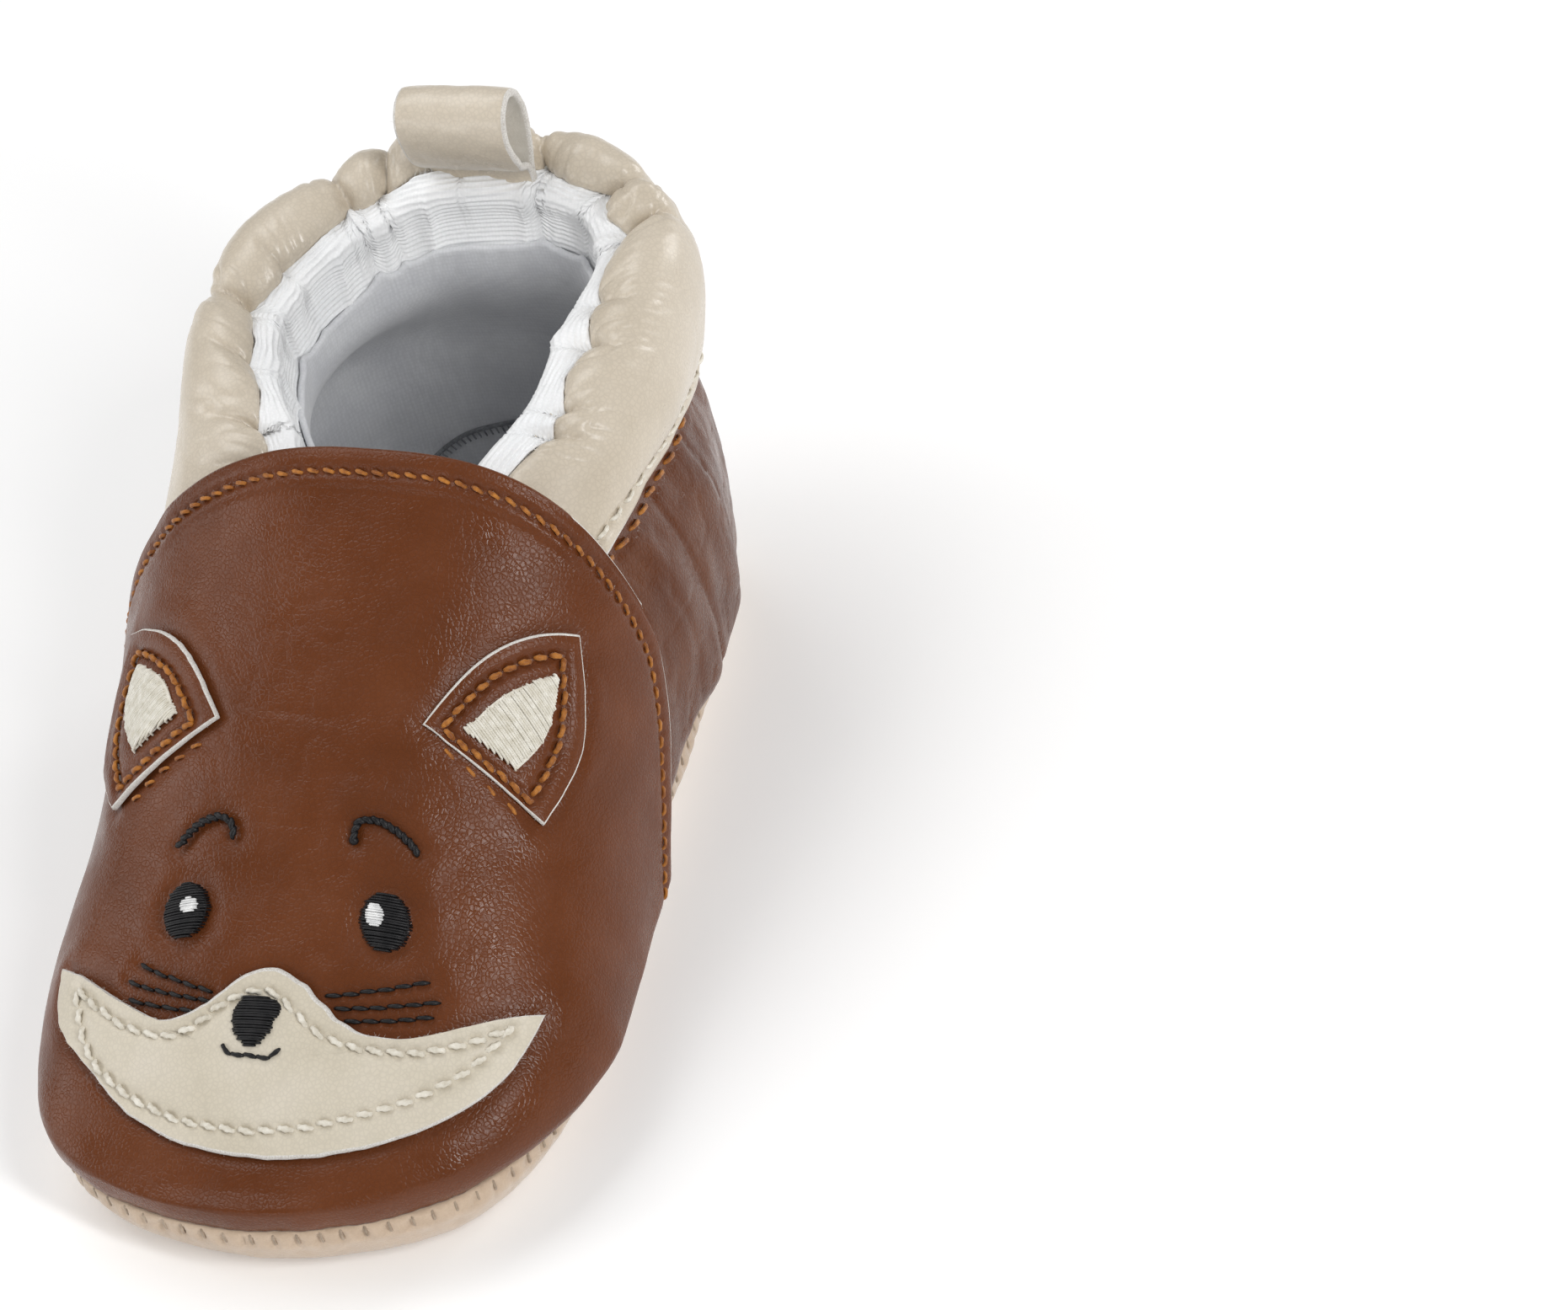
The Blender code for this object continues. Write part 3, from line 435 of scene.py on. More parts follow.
def closed_line(outline):
    """An outline with its first point again at the end."""
    return np.vstack([outline, outline[:1]])


def vamp_normal(p):
    """The direction out of the front panel at points on it."""
    step = 0.05
    slope = [inside_vamp(p + step * axis) - inside_vamp(p - step * axis) for axis in np.eye(3)]
    return unit(np.stack(slope, axis=-1))


def lifted(p, height):
    """Places at this height over the front panel."""
    return p + vamp_normal(p) * np.asarray(height)[..., None]


def on_vamp(plan):
    """Places seen from above, on the front panel."""
    plan = np.asarray(plan, float)
    height = vamp_height(plan[..., 0], plan[..., 1])
    return np.concatenate([plan, height[..., None]], axis=-1)


def cornered(points, corners, count):
    """A closed outline through its points, smooth between the numbered corners."""
    points = list(points)
    if not corners:
        return Curve(points, closed=True).at(np.arange(count) / count)
    many = len(points)
    turns = list(corners) + [corners[0] + many]
    whole = sum(math.dist(points[i], points[(i + 1) % many]) for i in range(many))
    line = []
    for a, b in zip(turns[:-1], turns[1:]):
        part = [points[i % many] for i in range(a, b + 1)]
        length = sum(math.dist(p, q) for p, q in zip(part[:-1], part[1:]))
        steps = max(2, round(count * length / whole))
        line.append(Curve(part).at(np.arange(steps) / steps))
    return np.vstack(line)


def oval(x, y, wide, tall, count):
    """An ellipse on the slope of the front panel, seen from above."""
    angle = 2 * math.pi * np.arange(count) / count
    return np.column_stack([x + wide * np.cos(angle), y + tall * np.sin(angle)])


def border(grid):
    """The entries round a grid, in the order in which a shell's edge runs."""
    return np.concatenate([grid[:-1, 0], grid[-1, :-1], grid[:0:-1, -1], grid[0, :0:-1]])


class Form:
    """A mesh being made: closed parts, each with the number of a material for every face."""

    def __init__(self):
        self.points = []
        self.faces = []
        self.kinds = []
        self.count = 0

    def add(self, points, groups, kinds):
        """Adds closed parts. Each group of faces has its own kind; all are turned to face out."""
        points = np.asarray(points, float).reshape(-1, 3)
        volume = 0.0
        for faces in groups:
            corner = points[faces]
            for k in range(1, faces.shape[1] - 1):
                volume += np.sum(corner[:, 0] * np.cross(corner[:, k], corner[:, k + 1]))
        for faces, kind in zip(groups, kinds):
            if volume < 0:
                faces = faces[:, ::-1]
            self.faces.extend((faces + self.count).tolist())
            self.kinds.extend(np.broadcast_to(kind, len(faces)).tolist())
        self.points.append(points)
        self.count += len(points)

    def shell(self, front, back, kinds=(0, 1, 2), rim=5, bulge=0.8):
        """A sheet between two grids of points, with a rounded edge."""
        columns, rows = front.shape[:2]
        index = np.arange(columns * rows).reshape(columns, rows)
        quads = np.stack([index[:-1, :-1], index[1:, :-1], index[1:, 1:], index[:-1, 1:]], -1).reshape(-1, 4)
        half = columns * rows
        around = border(index)
        inner = np.concatenate([index[:-1, 1], index[-2, :-1], index[:0:-1, -2], index[1, :0:-1]])
        inner[0] = index[1, 1]
        inner[columns - 1] = index[-2, 1]
        inner[columns + rows - 2] = index[-2, -2]
        inner[2 * columns + rows - 3] = index[1, -2]
        points = [front.reshape(-1, 3), back.reshape(-1, 3)]
        groups = [quads, quads[:, ::-1] + half]
        edge_faces = []
        count = 2 * half
        top, bottom = points[0][around], points[1][around]
        middle, arm = (top + bottom) / 2, (top - bottom) / 2
        out = middle - (points[0][inner] + points[1][inner]) / 2
        out = unit(out - unit(arm) * np.sum(out * unit(arm), axis=-1, keepdims=True))
        thick = np.linalg.norm(arm, axis=-1, keepdims=True)
        rings = [around]
        for k in range(1, rim):
            turn = math.pi * k / rim
            points.append(middle + arm * math.cos(turn) + out * thick * bulge * math.sin(turn))
            rings.append(count + np.arange(len(around)))
            count += len(around)
        rings.append(around + half)
        for a, b in zip(rings[:-1], rings[1:]):
            edge_faces.append(np.stack([np.roll(a, -1), a, b, np.roll(b, -1)], -1))
        groups.append(np.vstack(edge_faces))
        self.add(np.vstack(points), groups, kinds)

    def rings(self, rings, kind=0):
        """A solid through closed rings of points, with a point closing each end."""
        rings = np.asarray(rings, float)
        layers, count = rings.shape[:2]
        index = np.arange(layers * count).reshape(layers, count)
        turned = np.roll(index, -1, axis=1)
        quads = np.stack([index[:-1], turned[:-1], turned[1:], index[1:]], -1).reshape(-1, 4)
        first, last = layers * count, layers * count + 1
        caps = np.vstack([np.stack([np.full(count, first), turned[0], index[0]], -1),
                          np.stack([np.full(count, last), index[-1], turned[-1]], -1)])
        ends = [rings[0].mean(axis=0), rings[-1].mean(axis=0)]
        end_kind = 0 if np.ndim(kind) else kind
        self.add(np.vstack([rings.reshape(-1, 3), ends]), [quads, caps], (kind, end_kind))

    def tubes(self, paths, ups, radius, sides=8, lobes=0.0, twist=0.0, flat=1.0, kind=0):
        """Many round threads of the same number of points, each closed at both ends."""
        paths = np.asarray(paths, float)
        many, steps = paths.shape[:2]
        way = unit(np.gradient(paths, axis=1))
        side = unit(np.cross(way, np.broadcast_to(ups, paths.shape)))
        up = np.cross(side, way)
        turn = 2 * math.pi * np.arange(sides) / sides
        along = np.linspace(0, 1, steps)[:, None]
        size = 1 + lobes * np.cos(2 * (turn[None] - twist * along))
        size = size[None] * np.broadcast_to(radius, (many, steps))[..., None]
        points = paths[:, :, None] + side[:, :, None] * (size * np.cos(turn))[..., None]
        points = points + up[:, :, None] * (size * np.sin(turn) * flat)[..., None]
        index = np.arange(many * steps * sides).reshape(many, steps, sides)
        next_one = np.roll(index, -1, axis=2)
        quads = np.stack([index[:, :-1], next_one[:, :-1], next_one[:, 1:], index[:, 1:]], -1).reshape(-1, 4)
        self.add(points, [quads, index[:, 0, ::-1], index[:, -1]], (kind, kind, kind))

    def build(self, name, materials):
        """Makes the object, in metres, in the row frame."""
        mesh = bpy.data.meshes.new(name)
        mesh.from_pydata((np.vstack(self.points) + SHIFT) * MM, [], self.faces)
        mesh.polygons.foreach_set("material_index", np.array(self.kinds, np.int32))
        mesh.shade_smooth()
        for material in materials:
            mesh.materials.append(material)
        thing = bpy.data.objects.new(name, mesh)
        bpy.context.scene.collection.objects.link(thing)
        return thing


def stitch_paths(path, ups, length, gap, lift, sink, slant=0.0, steps=9, wobble=0.0, seed=1):
    """Centre lines of single stitches along a path, whose ends dip into the surface."""
    draw = np.random.default_rng(seed)
    knots = travelled(path)
    count = max(1, int(knots[-1] / (length + gap)))
    pitch = knots[-1] / count
    share = np.linspace(0, 1, steps)
    start = pitch * np.arange(count)[:, None] + gap / 2
    at = start + (pitch - gap) * share[None]
    place, up = read_line(path, knots, at), unit(read_line(ups, knots, at))
    way = unit(np.gradient(place, axis=1))
    side = np.cross(way, up)
    arc = (lift + sink) * (1 - (2 * share - 1)**4) - sink
    place = place + up * arc[None, :, None]
    swing = slant * (2 * share - 1)[None] + wobble * draw.uniform(-1, 1, (count, 1))
    return place + side * swing[..., None], up


def stitches(form, path, ups, length, gap, radius, lift=0.1, sink=0.35, kind=0, sides=8, lobes=0.14,
             twist=5.0, **more):
    """Single twisted stitches along a path, thinner at their ends."""
    paths, up = stitch_paths(path, ups, length, gap, lift, sink, **more)
    share = np.linspace(0, 1, paths.shape[1])
    width = radius * (1 - 0.45 * np.abs(2 * share - 1)**4)
    form.tubes(paths, up, width[None], sides=sides, lobes=lobes, twist=twist, flat=0.85, kind=kind)


def satin(form, outline, angle, pitch, radius, height, ragged, seed, bow):
    """Threads side by side across an outline on the front panel, each dipping in at its ends."""
    draw = np.random.default_rng(seed)
    along = np.array((math.cos(angle), math.sin(angle)))
    across = np.array((-along[1], along[0]))
    ring = closed_line(outline)
    depth = ring @ across
    paths = []
    for level in np.arange(depth.min() + pitch / 2, depth.max(), pitch):
        level = level + draw.uniform(-0.15, 0.15) * pitch
        cuts = []
        for a, b, da, db in zip(ring[:-1], ring[1:], depth[:-1], depth[1:]):
            if (da - level) * (db - level) < 0:
                cuts.append((a + (b - a) * (level - da) / (db - da)) @ along)
        cuts.sort()
        for low, high in zip(cuts[0::2], cuts[1::2]):
            ends = low - ragged * draw.uniform(0, 1), high + ragged * draw.uniform(0, 1)
            share = np.linspace(0, 1, 11)
            line = np.outer(ends[0] + (ends[1] - ends[0]) * share, along) + across * level
            rise = height + bow * (1 - (2 * share - 1)**2) * min(1, (high - low) / 4)
            rise = rise + draw.uniform(-0.04, 0.04)
            rise = rise - (height + 0.25) * np.abs(2 * share - 1)**14
            paths.append(lifted(on_vamp(line), rise))
    paths = np.array(paths)
    share = np.linspace(0, 1, 11)
    width = radius * (1 - 0.4 * np.abs(2 * share - 1)**8)
    form.tubes(paths, vamp_normal(paths), width[None], sides=6)


def fuzz(form, places, ways, ups, length, radius=0.022, count=1000, spread=0.6, kind=0, seed=1):
    """Short loose fibres standing out of an edge."""
    draw = np.random.default_rng(seed)
    pick = draw.integers(0, len(places), count)
    start = places[pick] + draw.normal(0, 0.12, (count, 3))
    way = unit(ways[pick] + draw.normal(0, spread, (count, 3)))
    curl = unit(draw.normal(0, 1, (count, 3)))
    size = length * draw.uniform(0.35, 1.0, (count, 1, 1))
    share = np.linspace(0, 1, 5)[None, :, None]
    paths = start[:, None] + way[:, None] * size * share + curl[:, None] * size * 0.45 * share**2
    width = radius * (1 - 0.6 * np.linspace(0, 1, 5))
    up = np.broadcast_to(unit(ups[pick] + 0.01)[:, None], paths.shape)
    form.tubes(paths, up, width[None], sides=3, kind=kind)


def put(thing, slot, *nodes, body="bootie"):
    """Fastens a piece to its body and hides the CAD nodes that it replaces."""
    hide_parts(*nodes)
    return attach(thing, body)


def sew(name, material, slot, node, line, up, stitch, **more):
    """A piece made of single stitches along a line."""
    form = Form()
    stitches(form, line, up, *stitch, **more)
    put(form.build(name, (material,)), slot, node)


# ---------------------------------------------------------------- materials

class Look:
    """A Principled material with the few nodes that its surface needs."""

    def __init__(self, name, colour, roughness, **settings):
        self.material = bpy.data.materials.new(name)
        self.material.use_nodes = True
        self.tree = self.material.node_tree
        self.shader = self.tree.nodes["Principled BSDF"]
        self.shader.inputs["Base Color"].default_value = (*colour, 1)
        self.shader.inputs["Roughness"].default_value = roughness
        for key, value in settings.items():
            self.shader.inputs[key.replace("_", " ")].default_value = value
        self.place = self.node("ShaderNodeTexCoord").outputs["Object"]
        self.bump = None

    def node(self, kind, links=(), values=(), **settings):
        node = self.tree.nodes.new(kind)
        for key, value in settings.items():
            setattr(node, key, value)
        for key, value in dict(values).items():
            node.inputs[key].default_value = value
        for key, source in dict(links).items():
            self.tree.links.new(source, node.inputs[key])
        return node

    def grain(self, millimetres, detail=2.0, stretch=(1, 1, 1), distortion=0.0, roughness=0.5):
        """A noise of this size, as a value from 0 to 1."""
        place = self.stretched(stretch)
        return self.node("ShaderNodeTexNoise", {"Vector": place},
                         {"Scale": 1000 / millimetres, "Detail": detail, "Distortion": distortion,
                          "Roughness": roughness}).outputs["Fac"]

    def stretched(self, stretch):
        if stretch == (1, 1, 1):
            return self.place
        return self.node("ShaderNodeMapping", {"Vector": self.place}, {"Scale": stretch}).outputs["Vector"]

    def cells(self, millimetres, feature="DISTANCE_TO_EDGE", stretch=(1, 1, 1), **values):
        place = self.stretched(stretch)
        node = self.node("ShaderNodeTexVoronoi", {"Vector": place}, {"Scale": 1000 / millimetres, **values},
                         feature=feature)
        return node.outputs["Distance"]

    def spread(self, source, low, high, to_low=0.0, to_high=1.0):
        """Maps a value from one range to another and clamps it."""
        values = {"From Min": low, "From Max": high, "To Min": to_low, "To Max": to_high}
        return self.node("ShaderNodeMapRange", {"Value": source}, values).outputs["Result"]

    def tint(self, source, stops):
        """A colour along stops of (place, colour)."""
        node = self.node("ShaderNodeValToRGB", {"Fac": source})
        ramp = node.color_ramp
        while len(ramp.elements) < len(stops):
            ramp.elements.new(0.5)
        for element, (place, colour) in zip(ramp.elements, stops):
            element.position = place
            element.color = (*colour, 1)
        return node.outputs["Color"]

    def grey(self, value):
        """A value as a colour."""
        links = {"Red": value, "Green": value, "Blue": value}
        return self.node("ShaderNodeCombineColor", links).outputs["Color"]

    def mixed(self, share, a, b, blend="MIX"):
        node = self.node("ShaderNodeMix", data_type="RGBA", blend_type=blend)
        for socket, value in ((node.inputs[0], share), (node.inputs[6], a), (node.inputs[7], b)):
            if isinstance(value, bpy.types.NodeSocket):
                self.tree.links.new(value, socket)
            elif isinstance(value, tuple):
                socket.default_value = (*value, 1)
            else:
                socket.default_value = value
        return node.outputs[2]

    def raised(self, source, millimetres, strength=1.0):
        """Adds a height to the surface's bump."""
        links = {"Height": source}
        if self.bump is not None:
            links["Normal"] = self.bump
        node = self.node("ShaderNodeBump", links, {"Distance": millimetres * MM, "Strength": strength})
        self.bump = node.outputs["Normal"]

    def done(self, colour=None, roughness=None):
        if colour is not None:
            self.tree.links.new(colour, self.shader.inputs["Base Color"])
        if roughness is not None:
            self.tree.links.new(roughness, self.shader.inputs["Roughness"])
        if self.bump is not None:
            self.tree.links.new(self.bump, self.shader.inputs["Normal"])
        return self.material


def leather(name, dark, middle, light, roughness, pebble=0.55, depth=0.045, specular=0.5, sheen=0.0,
            crumple=0.10):
    """Grained leather: pebbles between fine grooves with painted shade in them, small wrinkles and uneven
    dye and gloss.
    """
    look = Look(name, middle, roughness, Sheen_Weight=sheen, Sheen_Roughness=0.5,
                Specular_IOR_Level=specular)
    cells = look.spread(look.cells(pebble, Randomness=1.0), 0.0, 0.22)
    fine = look.grain(0.35, detail=3.0)
    wrinkles = look.grain(2.4, detail=5.0, distortion=0.6)
    cloud = look.grain(11.0, detail=4.0)
    look.raised(wrinkles, crumple, 0.5)
    look.raised(cells, depth, 0.5)
    look.raised(fine, 0.012, 0.4)
    base = look.tint(cloud, ((0.3, dark), (0.5, middle), (0.72, light)))
    # Painted shade: the colour is darker in the grooves between the pebbles, where the bump is low.
    valley_shade = look.spread(cells, 0.0, 1.0, 0.86, 1.0)
    colour = look.mixed(0.6, base, look.grey(valley_shade), "MULTIPLY")
    gloss = look.spread(look.grain(4.0, detail=3.0), 0.3, 0.7, roughness - 0.07, roughness + 0.08)
    return look.done(colour, gloss)


def cloth(name, colour, shade, pitch=0.5, depth=0.12, sheen=0.35, hollow_shade=0.72):
    """Knitted cloth: rows of small loops with painted shade between them, and a little fluff."""
    look = Look(name, colour, 0.92, Sheen_Weight=sheen, Sheen_Roughness=0.6, Specular_IOR_Level=0.25)
    loops = look.cells(pitch, feature="F1", stretch=(1, 1, 0.7), Randomness=0.35)
    fluff = look.grain(0.22, detail=4.0)
    cloud = look.grain(7.0, detail=3.0)
    look.raised(loops, depth, 0.8)
    look.raised(fluff, 0.05, 0.7)
    base = look.tint(cloud, ((0.3, shade), (0.65, colour)))
    # Painted shade: the cloth is darkened in the hollows between its loops, where the bump is low.
    dark = look.spread(loops, 0.15, 0.75, 1.0, hollow_shade)
    return look.done(look.mixed(0.7, base, look.grey(dark), "MULTIPLY"))


def thread(name, dark, light, roughness, sheen=0.2, specular=0.5):
    """Twisted yarn: fine strands and uneven shade."""
    look = Look(name, light, roughness, Sheen_Weight=sheen, Sheen_Roughness=0.4, Specular_IOR_Level=specular)
    strands = look.grain(0.12, detail=3.0)
    look.raised(strands, 0.035, 0.7)
    base = look.tint(look.grain(0.9, detail=4.0), ((0.32, dark), (0.68, light)))
    return look.done(base)


def suede(name, dark, light):
    """Napped leather: short fibres lying different ways."""
    look = Look(name, light, 0.95, Sheen_Weight=0.6, Sheen_Roughness=0.45, Specular_IOR_Level=0.2)
    nap = look.grain(0.3, detail=5.0, roughness=0.7)
    brushed = look.grain(3.5, detail=4.0, distortion=1.2)
    look.raised(brushed, 0.25, 0.4)
    look.raised(nap, 0.12, 0.8)
    mixed = look.mixed(look.spread(nap, 0.3, 0.7), dark, light)
    patchy = look.tint(brushed, ((0.3, dark), (0.6, light)))
    return look.done(look.mixed(0.5, mixed, patchy))


def raw_edge(name, dark, light):
    """The fibrous cut edge of leather."""
    look = Look(name, light, 0.95, Sheen_Weight=0.3, Sheen_Roughness=0.5, Specular_IOR_Level=0.2)
    fibres = look.grain(0.18, detail=5.0, roughness=0.75)
    look.raised(fibres, 0.14, 1.0)
    return look.done(look.tint(fibres, ((0.34, dark), (0.6, light))))


BROWN = leather("brown_leather", (0.114, 0.031, 0.008), (0.130, 0.036, 0.010), (0.150, 0.045, 0.015), 0.29,
                specular=0.24)
BROWN_REAR = leather("brown_leather_soft", (0.095, 0.027, 0.009), (0.120, 0.037, 0.013),
                     (0.150, 0.052, 0.021), 0.25, pebble=0.7, specular=0.2)
BEIGE = leather("beige_leather", (0.585, 0.51, 0.405), (0.62, 0.545, 0.44), (0.65, 0.575, 0.47), 0.30,
                pebble=0.6, depth=0.012, crumple=0.03)
CREAM_PATCH = leather("muzzle_leather", (0.58, 0.52, 0.41), (0.63, 0.57, 0.46), (0.67, 0.61, 0.51), 0.46,
                      depth=0.009, crumple=0.04)
FLESH = suede("leather_back", (0.20, 0.12, 0.08), (0.27, 0.17, 0.12))
PALE_BACK = suede("pale_leather_back", (0.66, 0.62, 0.55), (0.76, 0.73, 0.67))
WHITE_EDGE = raw_edge("white_raw_edge", (0.55, 0.50, 0.44), (0.86, 0.84, 0.80))
BROWN_EDGE = raw_edge("brown_raw_edge", (0.05, 0.02, 0.011), (0.16, 0.075, 0.045))
SUEDE = suede("suede", (0.50, 0.37, 0.26), (0.62, 0.48, 0.355))
RIB = cloth("rib_knit", (0.95, 0.955, 0.96), (0.92, 0.93, 0.94), pitch=0.42, depth=0.04, hollow_shade=0.9)
LINING = cloth("lining_cloth", (0.80, 0.81, 0.83), (0.70, 0.71, 0.74), pitch=0.4, depth=0.05,
               hollow_shade=0.85)
ORANGE = thread("orange_thread", (0.20, 0.055, 0.006), (0.50, 0.19, 0.025), 0.5, specular=0.35)
CREAM = thread("cream_thread", (0.60, 0.55, 0.45), (0.82, 0.78, 0.69), 0.5)
EAR_CREAM = thread("ear_cream_thread", (0.62, 0.58, 0.48), (0.80, 0.77, 0.69), 0.5)
TAN = thread("tan_thread", (0.26, 0.19, 0.13), (0.46, 0.36, 0.27), 0.6)
BLACK = thread("black_thread", (0.004, 0.004, 0.005), (0.014, 0.013, 0.014), 0.42, sheen=0.0, specular=0.3)
WHITE = thread("white_thread", (0.62, 0.62, 0.62), (0.88, 0.88, 0.87), 0.5)
GREY_THREAD = thread("grey_thread", (0.20, 0.205, 0.22), (0.36, 0.37, 0.39), 0.7)
FOAM = raw_edge("foam", (0.70, 0.69, 0.65), (0.82, 0.81, 0.77))
ELASTIC = cloth("elastic", (0.85, 0.85, 0.84), (0.76, 0.76, 0.76), pitch=0.35)


def paint(node, material):
    """Gives a CAD node that stays its finished material."""
    for holder in frame["nodes"][node].material_slots:
        holder.material = material


paint("midsole_foam", FOAM)
paint("collar_elastic", ELASTIC)


# ---------------------------------------------------------------- the front panel

VAMP_RIM = 6
# Unevenness, as the strength, size and seed of each noise.
VAMP_RELIEF = ((0.30, 15, 6), (0.12, 6, 7))
VAMP_LINING_RELIEF = ((0.15, 6, 3),)
HEM_FROM_Z = 46.0
HEM_HEIGHT = 0.5
HEM_THICKNESS = 0.35
OUTER_HEM_RISE = 4.0
# How far in from the edge the seam runs where the edge is cut and where it is folded.
RAW_SEAM = 2.0
HEM_SEAM = 2.3
SEAM_SINK = 0.36
LINING_PULL = 6.5
LINING_GAP = 0.55
LINING_THICKNESS = 0.9

# Stitches: the length of one, the gap to the next and the thread's radius.
VAMP_STITCH = (1.5, 0.45, 0.25)
MUZZLE_STITCH = (1.95, 0.35, 0.33)
EAR_STITCH = (1.5, 0.35, 0.33)
EAR_BASE_STITCH = (1.5, 1.15, 0.22)
BROW_STITCH = (1.25, -0.3, 0.36)
MOUTH_STITCH = (1.5, -0.15, 0.26)
WHISKER_STITCH = (1.75, 0.12, 0.25)
# Satin threads: from one to the next, a thread's radius and its height over the panel.
EAR_SATIN = (0.27, 0.17, 1.12)
EYE_SATIN = (0.25, 0.16, 0.32)
LIGHT_SATIN = (0.21, 0.13, 0.98)
NOSE_SATIN = (0.24, 0.16, 1.42)
# The radii along the knot that ends the outer brow.
BROW_KNOT = (0.25, 0.42, 0.5, 0.52, 0.5, 0.42, 0.25)

# What is drawn on the panel, as places (x, y) seen from above.

MUZZLE = ((-1.2, -38.4), (-6.8, -41.2), (-11.8, -43.1), (-19.3, -40.7), (-28.1, -35.4), (-27.4, -40.3),
          (-22.1, -46.8), (-14.7, -52), (-3.4, -54.6), (8.8, -53.6), (19.1, -49.5), (25.6, -43),
          (28.4, -35.5), (22.5, -39.1), (13.8, -42.8), (7.6, -42.2), (2.1, -38.9))
MUZZLE_CORNERS = (4, 12)
MUZZLE_CENTRE = (-0.5, -46.5)
MUZZLE_SEAM = ((-25, -38.6), (-17.1, -43.6), (-10.2, -44.2), (-4.6, -41), (0.1, -40.3), (4.6, -42.9),
               (10.6, -44.2), (20.2, -42.1), (25.8, -38.1), (21.7, -44.1), (14.8, -48.8), (6.3, -51.6),
               (-6.5, -52.5), (-15.4, -50.3), (-22.4, -45))
MUZZLE_SEAM_CORNERS = (0, 8)
EAR_OUTER = ((13.2, -13.6), (25.5, -17.3), (27.7, -8), (26.7, 0.9), (18.9, -5.8))
EAR_INNER = ((-11.3, -14.6), (-25.2, -19.2), (-29.6, -9), (-27.2, -0.1), (-17.5, -6.6))
EAR_CORNERS = (0, 1, 3)
EAR_FILL_OUTER = ((17.6, -12.6), (22.6, -13.9), (24.7, -9.4), (24.9, -4.4), (20.5, -8.6))
EAR_FILL_INNER = ((-17.2, -13), (-22.8, -14.6), (-25.2, -9), (-24, -5.7), (-18.8, -10))
EAR_SEAM_OUTER = ((15.1, -13.5), (24.1, -16.1), (26, -8.4), (25.5, -1.7), (19.1, -7.8))
EAR_SEAM_INNER = ((-14.3, -14.5), (-24.6, -17.6), (-27.1, -9), (-25.4, -3.2), (-18, -9.4))
# x, y, half width and half height.
EYES = ((11.5, -32.3, 2.8, 2.7), (-12.4, -32.7, 2.8, 2.6))
EYE_LIGHTS = ((10.4, -31.9, 1.0, 1.05), (-11.6, -32.3, 1.05, 0.7))
BROWS = (((6.9, -25.6), (7.1, -24), (10.1, -23.4), (14.2, -25.3)),
         ((-7.3, -26.1), (-7.9, -24.7), (-11, -24.2), (-14.5, -26.4)))
NOSE = ((-3.5, -41.1), (-0.8, -40.7), (1.3, -41.4), (0.6, -43.6), (-1.9, -45.3), (-4.4, -42.6))
MOUTH = ((-5.1, -45.3), (-4.2, -46), (-1.9, -46.1), (0.9, -46), (1.7, -45.2))
WHISKERS = (((5.7, -40), (17.1, -36.6)), ((6.9, -41), (18.5, -38.1)), ((8.2, -42), (18, -39.7)),
            ((-7.7, -40.4), (-17.5, -37.3)), ((-7.6, -41.3), (-18.8, -38.8)),
            ((-9.4, -42.2), (-18.5, -40.6)))


def hem_share(z):
    """1 where the panel's edge is folded under, 0 where it is cut."""
    return smooth_step((z - HEM_FROM_Z) / 5)


def seam_depth(hem):
    """How far in from the panel's edge its seam runs."""
    return RAW_SEAM + (HEM_SEAM - RAW_SEAM) * hem


def edge_of(grid):
    """The panel's free edge, from the sole up the outer side, over the arch and down the inner side."""
    return dense(np.vstack([grid[0], grid[1:, -1], grid[-1, ::-1][1:]]), 0.3)


def inset_line(edge, depth):
    """The line that runs beside the free edge, this far in from it."""
    way = unit(np.gradient(edge, axis=0))
    inwards = np.cross(vamp_normal(edge), way)
    inwards *= np.sign(np.sum(inwards * (np.array((0, -20.0, 30.0)) - edge)))
    line = edge + inwards * np.asarray(depth)[:, None]
    return dense(onto_vamp(line), 0.3)


def rounded_toe(grid):
    """Evens out the panel where it turns round the toe's tip, just above the sole."""
    soft = grid
    box = np.ones(9) / 9
    for _ in range(3):
        soft = np.apply_along_axis(lambda line: np.convolve(np.pad(line, 4, "edge"), box, "valid"), 0, soft)
    near = bell(grid[..., 0] + 1.5, 5)
    near = near * (1 - smooth_step((grid[..., 2] - 14) / 6)) * (grid[..., 1] < -50)
    return grid + (soft - grid) * near[..., None]


def pressed_lines():
    """The outlines and threads that press the panel in, as points on it."""
    marks = [on_vamp(closed_line(cornered(outline, corners, count)))
             for outline, corners, count in ((EAR_OUTER, EAR_CORNERS, 60), (EAR_INNER, EAR_CORNERS, 60),
                                             (MUZZLE, MUZZLE_CORNERS, 120))]
    for x, y, wide, tall in EYES:
        marks.append(on_vamp(oval(x, y, wide + 0.5, tall + 0.5, 40)))
    for line in BROWS:
        marks.append(on_vamp(Curve(line).at(np.linspace(0, 1, 20))))
    for ends in WHISKERS:
        marks.append(onto_vamp(np.linspace(*on_vamp(ends), 24)))
    return np.vstack([dense(line, 0.4) for line in marks])


